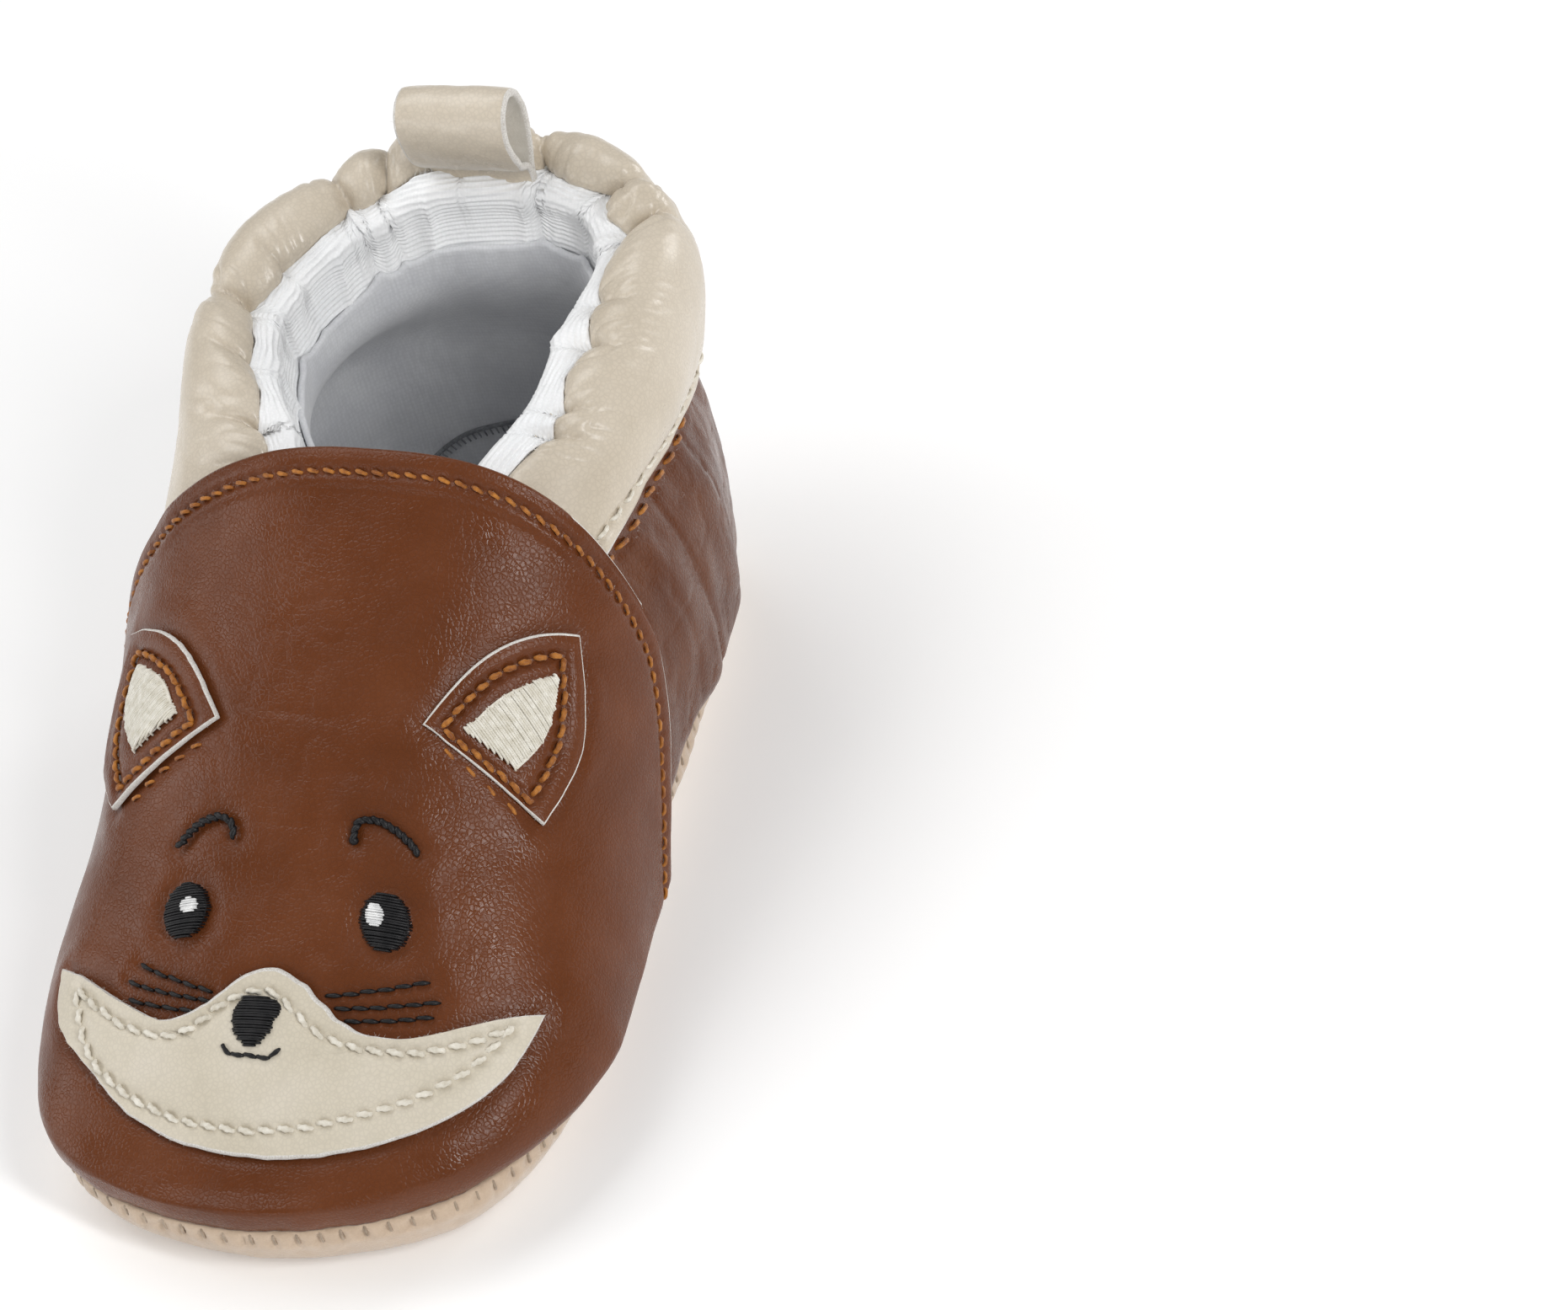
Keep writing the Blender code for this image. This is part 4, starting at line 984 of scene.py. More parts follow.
def vamp_relief(grid, away, hem, travel):
    """How far the leather stands out: its hem, its seam, its wrinkles and what is sewn on it."""
    rise = HEM_HEIGHT * hem * (1 - smooth_step((away - 3.0) / 1.5))
    seam_at = seam_depth(hem)
    beat = np.cos(2 * math.pi * travel / sum(VAMP_STITCH[:2]))
    rise -= (0.34 + 0.1 * beat) * bell(away - seam_at, 0.75)
    rise += 0.12 * bell(away - seam_at + 1.2, 0.7) * hem
    low, _ = nearest(grid, dense(grid[:, 0], 0.4))
    rise -= 0.55 * np.exp(-low / 0.9)
    rise += 0.16 * np.exp(-low / 5) * noise(grid, 3.2, 4)
    close, _ = nearest(grid, pressed_lines())
    rise -= 0.22 * bell(close, 1.0)
    rise += 0.20 * bell(close - 2.6, 1.4) * (0.6 + 0.6 * noise(grid, 3.5, 9))
    middle = bell(np.hypot(grid[..., 0] / 17, (grid[..., 1] + 15) / 15), 1.0)
    rise -= 0.13 * middle * ridges(grid, 3.4, 2, 7) + 0.07 * ridges(grid, 1.9, 5, 8) * (0.25 + middle)
    return rise + relief(grid, VAMP_RELIEF)


def make_vamp():
    """The brown front panel, folded under along the arch and cut along its sides."""
    grid = rounded_toe(front_panel(int(300 * FINE), int(230 * FINE)))
    out = normals(grid)
    edge = edge_of(grid)
    away, where = nearest(grid, edge)
    hem = hem_share(edge[:, 2])[where]
    front = grid + out * vamp_relief(grid, away, hem, travelled(edge)[where])[..., None]
    thick = LEATHER + HEM_THICKNESS * hem * (1 - smooth_step((away - 3.6) / 2))
    back = front - out * thick[..., None]
    back[:, 0, 2] = front[:, 0, 2]
    form = Form()
    form.shell(front, back, (0, 1, 3), rim=VAMP_RIM, bulge=0.9)
    columns, rows = grid.shape[:2]
    around = border(front)
    folded = hem_share(around[:, 2] - OUTER_HEM_RISE * (around[:, 0] > 0)) > 0.5
    kind = np.where(folded, 0, 2)
    kind[:columns - 1] = 3
    form.kinds[2 * (columns - 1) * (rows - 1):] = np.tile(kind, VAMP_RIM).tolist()
    put(form.build("vamp_leather", (BROWN, FLESH, WHITE_EDGE, BROWN_EDGE)), "brown_leather", "vamp")
    make_vamp_seam(edge)


def make_vamp_seam(edge):
    """The orange stitches beside the panel's free edge."""
    line = inset_line(edge, seam_depth(hem_share(edge[:, 2])))[8:-8]
    up = vamp_normal(line)
    raise_by = HEM_HEIGHT * hem_share(line[:, 2]) - SEAM_SINK
    sew("vamp_edge_stitches", ORANGE, "orange_thread", "vamp_topstitching", line + up * raise_by[:, None],
        up, VAMP_STITCH, lift=0.27, sink=0.3, slant=0.2, wobble=0.07)


def make_vamp_lining():
    """Jersey inside the front panel."""
    grid = front_panel(int(150 * FINE), int(110 * FINE), pull=LINING_PULL)
    cut = []
    for column in grid:
        side = smooth_step((abs(column[-1, 0]) - 8) / 7) * 6.0
        at = np.linspace(0, length_of(column) - side, len(column))
        cut.append(read_line(column, travelled(column), at))
    grid = np.array(cut)
    out = normals(grid)
    rise = relief(grid, VAMP_LINING_RELIEF)
    upper = grid - out * (LEATHER + LINING_GAP - rise)[..., None]
    lower = upper - out * LINING_THICKNESS
    lower[:, 0, 2] = upper[:, 0, 2]
    form = Form()
    form.shell(upper, lower, (0, 0, 0), rim=4)
    put(form.build("vamp_jersey", (LINING,)), "lining_cloth", "vamp_lining")


def patch_grid(outline, centre, shares):
    """Rings on the front panel, from near a centre out to an outline seen from above."""
    ring = on_vamp(outline)
    middle = on_vamp(centre)
    return np.array([onto_vamp(middle + (ring - middle) * share) for share in shares])


def patch(form, outline, centre, top, low=0.05, shares=None, kinds=(0, 1), rim=6, bulge=0.75):
    """A leather patch with rounded cut edges. top gives the height of its face at places on it."""
    if shares is None:
        shares = 1 - np.linspace(1, 0, 44)[:-1]**1.6
        shares = np.concatenate([shares[1:], [1.0]])
    grid = patch_grid(outline, centre, shares)
    up = vamp_normal(grid)
    edge, _ = nearest(grid, dense(closed_line(grid[-1]), 0.3))
    height = top(grid, edge)
    face = grid + up * height[..., None]
    foot = grid[-1] + up[-1] * low
    arm = (face[-1] - foot) / 2
    thick = np.linalg.norm(arm, axis=-1, keepdims=True)
    out = unit(grid[-1] - grid[-2])
    rings = [(face[-1] + foot) / 2 + arm * math.cos(turn) + out * thick * bulge * math.sin(turn)
             for turn in np.linspace(0, math.pi, rim + 1)[1:-1]]
    under = patch_grid(outline, centre, (1.0, 0.66, 0.33))
    under = under + vamp_normal(under) * low
    layers = np.vstack([face, rings, under])
    count = len(outline)
    kind = np.concatenate([np.full((len(face) - 1) * count, kinds[0]), np.full((rim + 1) * count, kinds[1]),
                           np.full((len(layers) - len(face) - rim - 1) * count, kinds[0])])
    form.rings(layers, kind[:(len(layers) - 1) * count])
    return face


def pillow(form, outline, centre, size, swell, low=0.05, rings=10):
    """The smooth ground under satin threads.

    swell is its height at the edge, the rise to its middle and how far in that rise takes."""
    height, more, reach = swell
    patch(form, centre + (outline - centre) * size, centre,
          lambda grid, edge: height + more * smooth_step(edge / reach),
          low=low, kinds=(0, 0), shares=np.linspace(0.1, 1, rings))


def ragged_outline(points, corners, count, depth, size, seed):
    """A cut edge seen from above, a little uneven."""
    outline = cornered(points, corners, count)
    return outline + depth * noise(np.column_stack([outline, np.zeros(len(outline))]), size, seed)[:, None]


def seam_line(points, corners, count):
    """A closed seam on the front panel."""
    return dense(on_vamp(closed_line(cornered(points, corners, count))), 0.25)


def curve_line(points, count):
    """An open thread's line on the front panel."""
    return dense(on_vamp(Curve(points).at(np.linspace(0, 1, count))), 0.2)


def make_muzzle():
    """The cream patch with its raw white edge and rope-like stitches."""
    outline = ragged_outline(MUZZLE, MUZZLE_CORNERS, 300, 0.10, 1.2, 3)
    seam = seam_line(MUZZLE_SEAM, MUZZLE_SEAM_CORNERS, 200)

    def top(grid, edge):
        away, where = nearest(grid, seam)
        dip = 0.32 + 0.1 * np.cos(2 * math.pi * where * 0.25 / sum(MUZZLE_STITCH[:2]))
        inside = 1.12 + 0.22 * smooth_step(edge / 5) + 0.10 * noise(grid, 5, 2) + 0.03 * noise(grid, 1.8, 5)
        inside = inside - 0.05 * ridges(grid, 2.6, 8, 6)
        return inside - dip * bell(away, 0.8)

    form = Form()
    patch(form, outline, MUZZLE_CENTRE, top, bulge=0.85)
    rim = on_vamp(outline)
    up = vamp_normal(rim)
    away = unit(rim - on_vamp(MUZZLE_CENTRE))
    fuzz(form, rim + up * 0.7, away + up * 0.3, up, 0.42, radius=0.018, count=int(1500 * FINE), kind=1,
         seed=7)
    put(form.build("muzzle_patch", (CREAM_PATCH, WHITE_EDGE)), "beige_leather", "muzzle")
    up = vamp_normal(seam)
    sew("muzzle_stitches", CREAM, "cream_thread", "muzzle_stitching", seam + up * 0.9, up, MUZZLE_STITCH,
        lift=0.38, sink=0.3, slant=0.25, wobble=0.1, lobes=0.22, twist=7.0, sides=10, steps=13)


def make_ears():
    """Brown ears with white cut edges, orange seams and cream satin fills."""
    sides = (("outer", EAR_OUTER, EAR_FILL_OUTER, EAR_SEAM_OUTER, math.radians(-36)),
             ("inner", EAR_INNER, EAR_FILL_INNER, EAR_SEAM_INNER, math.radians(32)))
    for side, ear, fill, line, angle in sides:
        outline = ragged_outline(ear, EAR_CORNERS, 170, 0.08, 1.1, 5)
        seam = seam_line(line, EAR_CORNERS, 120)
        filled = on_vamp(closed_line(cornered(fill, EAR_CORNERS, 60)))
        centre = np.mean(fill, axis=0)

        def top(grid, edge):
            away, _ = nearest(grid, seam)
            inside, _ = nearest(grid, filled)
            puff = 0.85 + 0.16 * bell(edge - 0.9, 0.8) + 0.05 * noise(grid, 2.5, 4)
            return puff - 0.48 * bell(away, 0.8) - 0.16 * bell(inside, 0.7)

        form = Form()
        patch(form, outline, centre, top, bulge=0.7)
        rim = on_vamp(outline)
        up = vamp_normal(rim)
        fuzz(form, rim + up * 0.5, unit(rim - on_vamp(centre)) + up * 0.4, up, 0.3, radius=0.016,
             count=int(350 * FINE), kind=1, seed=11)
        put(form.build(f"ear_patch_{side}", (BROWN, WHITE_EDGE)), "brown_leather", f"ear_{side}")

        form = Form()
        up = vamp_normal(seam)
        stitches(form, seam + up * 0.5, up, *EAR_STITCH, lift=0.36, sink=0.3, slant=0.14, wobble=0.1)
        base = on_vamp(np.linspace(ear[0], ear[1], 60))
        shift = unit(on_vamp(ear[1]) - on_vamp(ear[3]))
        base = onto_vamp(base + shift * 1.25)[8:-8]
        up = vamp_normal(base)
        stitches(form, base - up * 0.05, up, *EAR_BASE_STITCH, lift=0.22, sink=0.3, slant=0.2, wobble=0.15,
                 seed=3)
        put(form.build(f"ear_stitches_{side}", (ORANGE,)), "orange_thread", f"ear_thread_{side}")

        form = Form()
        inner = centre + (cornered(fill, EAR_CORNERS, 60) - centre) * 1.08
        pillow(form, inner, centre, 0.93, (1.0, 0.25, 2), low=0.75)
        satin(form, inner, angle, *EAR_SATIN, ragged=0.25, seed=5, bow=0.35)
        put(form.build(f"ear_satin_{side}", (EAR_CREAM,)), "cream_thread", f"ear_embroidery_{side}")


def make_threads():
    """Eyes, brows, nose, mouth and whiskers in black thread, and the white lights in the eyes."""
    for side, eye, light, brow in zip(("outer", "inner"), EYES, EYE_LIGHTS, BROWS):
        form = Form()
        outline = oval(*eye, 48)
        pillow(form, outline, eye[:2], 0.94, (0.2, 0.45, 2.2))
        satin(form, outline, 0.06, *EYE_SATIN, ragged=0.32, seed=8, bow=0.5)
        put(form.build(f"eye_satin_{side}", (BLACK,)), "black_thread", f"eye_{side}")
        form = Form()
        satin(form, oval(*light, 32), 0.06, *LIGHT_SATIN, ragged=0.2, seed=9, bow=0.1)
        put(form.build(f"eye_light_satin_{side}", (WHITE,)), "white_thread", f"eye_light_{side}")
        form = Form()
        line = curve_line(brow, 60)
        up = vamp_normal(line)
        stitches(form, line, up, *BROW_STITCH, lift=0.28, sink=0.1, slant=0.26, wobble=0.05, lobes=0.2)
        if side == "outer":
            spot = on_vamp(oval(*brow[0], 0.5, 0.5, 9))
            form.tubes([np.linspace(spot[0], spot[4], 7)], vamp_normal(spot[:1]), np.array(BROW_KNOT))
        put(form.build(f"brow_rope_{side}", (BLACK,)), "black_thread", f"brow_{side}")
    form = Form()
    outline = cornered(NOSE, (), 60)
    centre = np.mean(NOSE, axis=0)
    pillow(form, outline, centre, 0.93, (1.3, 0.5, 1.5), low=0.9, rings=9)
    satin(form, outline, 0.03, *NOSE_SATIN, ragged=0.4, seed=12, bow=0.5)
    put(form.build("nose_satin", (BLACK,)), "black_thread", "nose")
    line = curve_line(MOUTH, 40)
    up = vamp_normal(line)
    sew("mouth_thread", BLACK, "black_thread", "mouth", line + up * 1.3, up, MOUTH_STITCH, lift=0.22,
        sink=0.1, slant=0.1)
    for number, ends in enumerate(WHISKERS, 1):
        line = dense(onto_vamp(np.linspace(*on_vamp(ends), 40)), 0.2)
        sew(f"whisker_thread_{number}", BLACK, "black_thread", f"whisker_{number}", line, vamp_normal(line),
            WHISKER_STITCH, lift=0.24, sink=0.22, slant=0.1, wobble=0.05, seed=number)


# ---------------------------------------------------------------- the heel, the collar and the lining

FLAP_DEPTH = 6.5
FLAP_LEAN = 0.6
HEEL_SEAM_DROP = 2.6
# The collar laid flat: its length round the opening and across.
RING_LENGTH = 175.0
SECTION_LENGTH = 36.0
# Where across the collar its lip lies, at shares of the way round.
LIP_SHARE = ((0, .60), (.13, .61), (.16, .665), (.19, .72), (.25, .745), (.28, .79), (.34, .82), (.39, .85),
             (.46, .81), (.56, .79), (.605, .84), (.65, .805), (.72, .81), (.76, .79), (.8, .82),
             (.85, .77), (1, .74))
# Creases in the collar: from a place at the lip to a place outside, as shares round the ring and across,
# then the depth and the width.
CREASES = ((.73, .815, .757, .45, 3.2, 2.2), (.86, .755, .862, .57, 1.9, 1.8),
           (.69, .81, .70, .68, 1.4, 1.5), (.615, .835, .632, .50, 3.6, 2.4),
           (.59, .815, .583, .52, 2.2, 1.8), (.455, .79, .472, .56, 2.8, 2.0),
           (.405, .835, .368, .50, 2.6, 2.2), (.35, .79, .338, .47, 2.8, 2.2),
           (.225, .695, .208, .56, 1.8, 1.8), (.155, .64, .148, .50, 1.6, 1.7),
           (.13, .60, .122, .46, 1.7, 1.7), (.28, .795, .255, .60, 1.2, 1.8),
           (.52, .80, .52, .60, 1.4, 2.0), (.79, .80, .80, .62, 1.2, 1.8), (.90, .76, .905, .56, 1.5, 2.0))
# How far the collar's puffs stand out, at shares of the way round.
PUFF_LIFT = ((0, .3), (.3, .6), (.4, 1.2), (.47, 2.0), (.55, 2.2), (.63, 2.8), (.7, 2.4), (.77, 1.6),
             (.86, .7), (1, .4))
RIB_DROP = 8.6
RIB_PITCH = 0.62
RIB_HEIGHT = 0.24
# How much shorter the band hangs at both its ends, and over how much of the way round.
RIB_END_CUT = 4.5
RIB_END_SHARE = 0.12
# The free edge, where the folds fade and the cloth is thinner.
RIB_EDGE = 4.5
RIB_LENGTH = 150.0
# Folds in the rib: where, as a share of the way round, and how deep.
RIB_FOLDS = ((.55, 1.0), (.463, .9), (.644, .9), (.594, .7), (.775, 1.0), (.36, .8), (.24, .8), (.70, .6),
             (.86, .8))
# The overlocked seam in the lining at the back of the heel.
OVERLOCK = ((-20, 54.5, 11), (-16.7, 57, 13.1), (-12.9, 58.9, 15), (-8.8, 60, 16.9), (-2.6, 60.5, 18.7),
            (4, 60.2, 20.2))
# Stitches: the length of one, the gap to the next and the thread's radius.
COLLAR_STITCH = (2.8, 0.6, 0.27)
HEEL_STITCH = (2.6, 0.8, 0.3)
COLLAR_SEAM_RISE = 2.3
LINING_RELIEF = ((0.35, 7, 3), (0.15, 3, 5))
PADDING_SPAN = (0.27, 0.76)
PADDING_DEPTHS = (1.5, 4.0)
# The heel panel's height along its surface.
WALL_LENGTH = 35


def through(rings, columns, steps):
    """Smooth lines across rings of points, one line for each column."""
    return [Curve([ring[i] for ring in rings]).at(np.linspace(0, 1, steps)) for i in range(columns)]


def share_of_wall(z):
    """The share of the heel panel's height that this height is, where its top is at WALL_TOP_Z."""
    return (z - SEAM_Z) / (WALL_TOP_Z - SEAM_Z)


def collar_sections(columns, steps):
    """The collar's outer surface: up over the wall, across its crest and down inside its lip."""
    t = np.linspace(0, 1, columns)
    wall = heel_wall(columns, [share_of_wall(COLLAR_EDGE_Z)])[:, 0]
    edge = wall.copy()
    edge[:, :2] += outward(wall[:, :2]) * (LEATHER + 1.6 * GAP)
    lip = Curve(LIP).at(t)
    out = outward(lip[:, :2])
    inner = lip.copy()
    inner[:, :2] += out * FLAP_LEAN
    inner[:, 2] -= FLAP_DEPTH
    rings = [edge, Curve(BELLY).at(t), Curve(CREST).at(t), lip, inner]
    return duck(np.array(through(rings, columns, steps)), 1.5)


def crease_depth(t, v):
    """How far the creases pull the collar in, in millimetres, and how near they are, from 0 to 1."""
    scale = np.array((RING_LENGTH, SECTION_LENGTH))
    place = np.stack([t, v], -1) * scale
    total = np.zeros(place.shape[:-1])
    close = np.zeros(place.shape[:-1])
    for t0, v0, t1, v1, depth, width in CREASES:
        a, b = np.array((t0, v0)) * scale, np.array((t1, v1)) * scale
        way = b - a
        share = (place - a) @ way / (way @ way)
        near = a + np.clip(share, -0.25, 1)[..., None] * way
        distance = np.linalg.norm(place - near, axis=-1)
        fade = 1 - 0.65 * smooth_step(share)
        pull = 1.0 * np.exp(-distance / (0.5 * width)) + 0.4 * bell(distance, 2.2 * width)
        pull += 0.3 * np.exp(-distance / 0.45)
        total = np.maximum(total, depth * fade * pull)
        close = np.maximum(close, bell(distance, 4.0) * min(1, depth / 2.5))
    return total, close


def collar_relief(base, t, v):
    """How far the collar stands out of its plain surface: puffs, creases, gathers and seams."""
    lip = read(LIP_SHARE, t)
    flat = np.stack([t * RING_LENGTH, v * SECTION_LENGTH, np.zeros(t.shape)], -1)
    free = smooth_step((base[..., 1] - 6) / 8)
    pull, close = crease_depth(t, v)
    rise = read(PUFF_LIFT, t) * bell(v - 0.58, 0.22) - pull
    rise += 0.28 * noise(flat / (1, 2.0, 1), 10, 2)
    gather = np.clip(1 - np.abs(v - lip + 0.05) / 0.12, 0, 1)
    rise -= 0.22 * gather * ridges(flat / (1, 3.5, 1), 2.2, 6, 3)
    bent = flat / (1, 2.6, 1) + 0.5 * noise(flat, 4, 1)[..., None]
    rise -= 0.6 * close * ridges(bent, 1.5, 11, 2.5) + 0.06 * ridges(bent, 3.4, 12, 9)
    rise -= 0.9 * bell((v - lip) * SECTION_LENGTH, 1.1)
    beyond = smooth_step((v - lip) / 0.06)
    rise = rise * (1 - beyond) - 0.4 * beyond
    low = v * SECTION_LENGTH
    beat = np.cos(2 * math.pi * flat[..., 0] / sum(COLLAR_STITCH[:2]))
    bottom = 1 - smooth_step(low / 9)
    rise = rise * (1 - 0.75 * bottom) - (0.42 + 0.12 * beat) * bell(low - COLLAR_SEAM_RISE, 0.9)
    rise += 0.12 * bell(low - 0.6, 0.9)
    rise += bottom * 0.14 * noise(flat, 3.0, 5)
    return rise * free + np.minimum(rise, 0) * (1 - free)


def seen_row(front, out, share):
    """A row of a surface at this share of its height, and its normals, where the front panel ends."""
    row = int(round(share * (front.shape[1] - 1)))
    seen = front[:, row, 1] > ARCH_Y + 1.5
    return front[seen, row], out[seen, row]


def make_collar():
    """The padded collar, gathered into puffs by its seam."""
    columns, steps = int(560 * FINE), int(140 * FINE)
    base = collar_sections(columns, steps)
    out = normals(base)
    t = np.broadcast_to(np.linspace(0, 1, columns)[:, None], base.shape[:2])
    v = np.broadcast_to(np.linspace(0, 1, steps)[None, :], base.shape[:2])
    front = base + out * collar_relief(base, t, v)[..., None]
    form = Form()
    form.shell(front, front - out * LEATHER, (0, 1, 2), rim=5, bulge=0.8)
    collar = form.build("collar_leather", (BEIGE, PALE_BACK, WHITE_EDGE))
    put(collar, "beige_leather", "collar")
    line, up = seen_row(front, out, COLLAR_SEAM_RISE / SECTION_LENGTH)
    sew("collar_stitches", CREAM, "cream_thread", "collar_topstitching", line + up * 0.1, up, COLLAR_STITCH,
        lift=0.3, sink=0.3, slant=0.12, wobble=0.06)
    return base, out, front


def make_padding(skin, out):
    """The foam under the collar, gathered with it."""
    steps = skin.shape[1]
    rows = slice(*(int(share * steps) for share in PADDING_SPAN))
    top, out = skin[4:-4:2, rows], out[4:-4:2, rows]
    form = Form()
    form.shell(*(top - out * depth for depth in PADDING_DEPTHS), (0, 0, 0), rim=4)
    put(form.build("collar_foam", (FOAM,)), "foam", "collar_padding")


def make_heel_panel():
    """The brown rear panel, softly wrinkled below the collar."""
    columns, rows = int(330 * FINE), int(100 * FINE)
    wall = heel_wall(columns, np.linspace(0, 1, rows))
    out = normals(wall)
    h = np.broadcast_to(np.linspace(0, 1, rows)[None, :], wall.shape[:2])
    free = smooth_step((wall[..., 1] - 4) / 8)
    rise = -0.5 * bell((h - 0.80) * WALL_LENGTH, 3.2) * free
    rise -= 0.45 * np.exp(-h * WALL_LENGTH / 1.1)
    rise += 0.75 * noise(wall / (1, 1, 5.0), 6, 3) * free + 0.12 * noise(wall / (1, 1, 2), 3.0, 5) * free
    rise -= 0.35 * ridges(wall / (1, 1, 6.0) + 0.8 * noise(wall, 9, 2)[..., None], 6.0, 4, 5) * free
    rise -= 0.12 * ridges(wall / (1, 1, 1.5), 2.2, 9, 5) * free
    stitch_h = share_of_wall(COLLAR_EDGE_Z - HEEL_SEAM_DROP)
    rise -= 0.3 * bell((h - stitch_h) * WALL_LENGTH, 0.8) * free
    front = wall + out * rise[..., None]
    back = front - out * LEATHER
    form = Form()
    form.shell(front, back, (0, 1, 2), rim=4)
    put(form.build("heel_leather", (BROWN_REAR, FLESH, BROWN_EDGE)), "brown_leather", "heel_panel")
    line, up = seen_row(front, out, stitch_h)
    sew("heel_stitches", ORANGE, "orange_thread", "heel_topstitching", line + up * 0.05, up, HEEL_STITCH,
        lift=0.3, sink=0.3, slant=0.18, wobble=0.1)
    return wall, out


def some(grid, count):
    """This many of a grid's columns, evenly spread."""
    return grid[np.linspace(0, len(grid) - 1, count).round().astype(int)]


def at_share(lines, share):
    """Reads each column of a grid at its own share of the rows, or all at the same share."""
    columns, rows = lines.shape[:2]
    at = np.clip(np.broadcast_to(share, columns), 0, 1) * (rows - 1)
    low = np.minimum(at.astype(int), rows - 2)
    part = (at - low)[:, None]
    index = np.arange(columns)
    return lines[index, low] * (1 - part) + lines[index, low + 1] * part


def rib_lines(base, out, skin, t, rows):
    """The band's lines from the lip's seam to its free edge, how far each hangs and its whole length."""
    columns = len(t)
    lip = read(LIP_SHARE, t) - 0.012
    side = unit(np.column_stack([outward(at_share(base, lip)[:, :2]), np.zeros(columns)]))
    push = 0.45 + 1.1 * bell((t - 0.518) * RING_LENGTH, 8.5)
    rings = [at_share(skin, lip) + at_share(out, lip) * (push - 0.3)[:, None]]
    for share, more in ((0.3, 0.35), (0.65, 0.5)):
        place = lip + (1 - lip) * share
        rings.append(at_share(base, place) + at_share(out, place) * (push + more)[:, None])
    end = rings[-1]
    for inset, down in ((0.9, 4.5), (1.0, 10), (0.8, 16)):
        rings.append(end - side * inset - np.array((0, 0, down)))
    drop = RIB_DROP + 0.25 * noise(np.column_stack([t * RIB_LENGTH, t * 0, t * 0]), 12, 3)
    for place in (t, 1 - t):
        drop -= RIB_END_CUT * (1 - smooth_step(place / RIB_END_SHARE))
    lines = []
    reach = np.zeros(columns)
    for i, line in enumerate(through(rings, columns, 300)):
        knots = travelled(line)
        reach[i] = knots[np.argmin(np.linalg.norm(line - end[i], axis=1))]
        lines.append(read_line(line, knots, np.linspace(0, reach[i] + drop[i], rows)))
    return np.array(lines), reach, reach + drop


def rib_relief(t, travel, reach, low_edge):
    """How far the band's surface stands out: its ribs, its folds and its uneven free edge."""
    place = np.stack([np.broadcast_to(t[:, None] * RIB_LENGTH, travel.shape), travel, travel * 0], -1)
    along = travel - reach[:, None] + 0.05 * noise(place, 6, 5)
    rise = RIB_HEIGHT * np.abs(np.sin(math.pi * along / RIB_PITCH))
    rise += 0.18 * noise(place / (1, 2.5, 1), 9, 4)
    for at, depth in RIB_FOLDS:
        away = place[..., 0] - at * RIB_LENGTH - 0.12 * travel
        rise -= 0.9 * depth * np.exp(-np.abs(away) / 1.4) * smooth_step(travel / 4) * (1 - 0.8 * low_edge)
    rise += low_edge * 0.15 * noise(place, 5.0, 9)
    return rise - 0.2 * (1 - smooth_step(travel / 1.0))


def make_rib_band(base, out, skin):
    """The ribbed band sewn inside the lip, free at its lower edge."""
    columns, rows = int(360 * FINE), int(150 * FINE)
    base, out, skin = (some(grid, columns) for grid in (base, out, skin))
    t = np.linspace(0, 1, columns)
    lines, reach, height = rib_lines(base, out, skin, t, rows)
    flat = normals(lines)
    travel = np.linspace(0, 1, rows)[None] * height[:, None]
    low_edge = smooth_step((travel - height[:, None] + RIB_EDGE) / RIB_EDGE)
    front = lines + flat * rib_relief(t, travel, reach, low_edge)[..., None]
    back = front - flat * ((0.3 + 0.4 * smooth_step(travel / 3)) * (1 - 0.65 * low_edge))[..., None]
    form = Form()
    form.shell(front, back, (0, 0, 0), rim=4)
    top = front[:, 1]
    ways = unit(front[:, 0] - front[:, 6])
    strong = 0.35 + 0.65 * smooth_step((0.55 - t) / 0.2)
    chance = np.repeat(np.arange(columns), (1 + 5 * strong).astype(int))
    fuzz(form, top[chance], (ways + flat[:, 0] * 0.4)[chance], flat[:, 0][chance], 0.9, radius=0.02,
         count=int(2600 * FINE), spread=0.55, seed=21)
    low = front[:, -1]
    fuzz(form, low, -unit(front[:, -4] - low), flat[:, -1], 0.5, radius=0.018, count=int(700 * FINE),
         seed=22)
    put(form.build("rib_cuff", (RIB,)), "rib_knit", "rib_band")
    return lines, flat


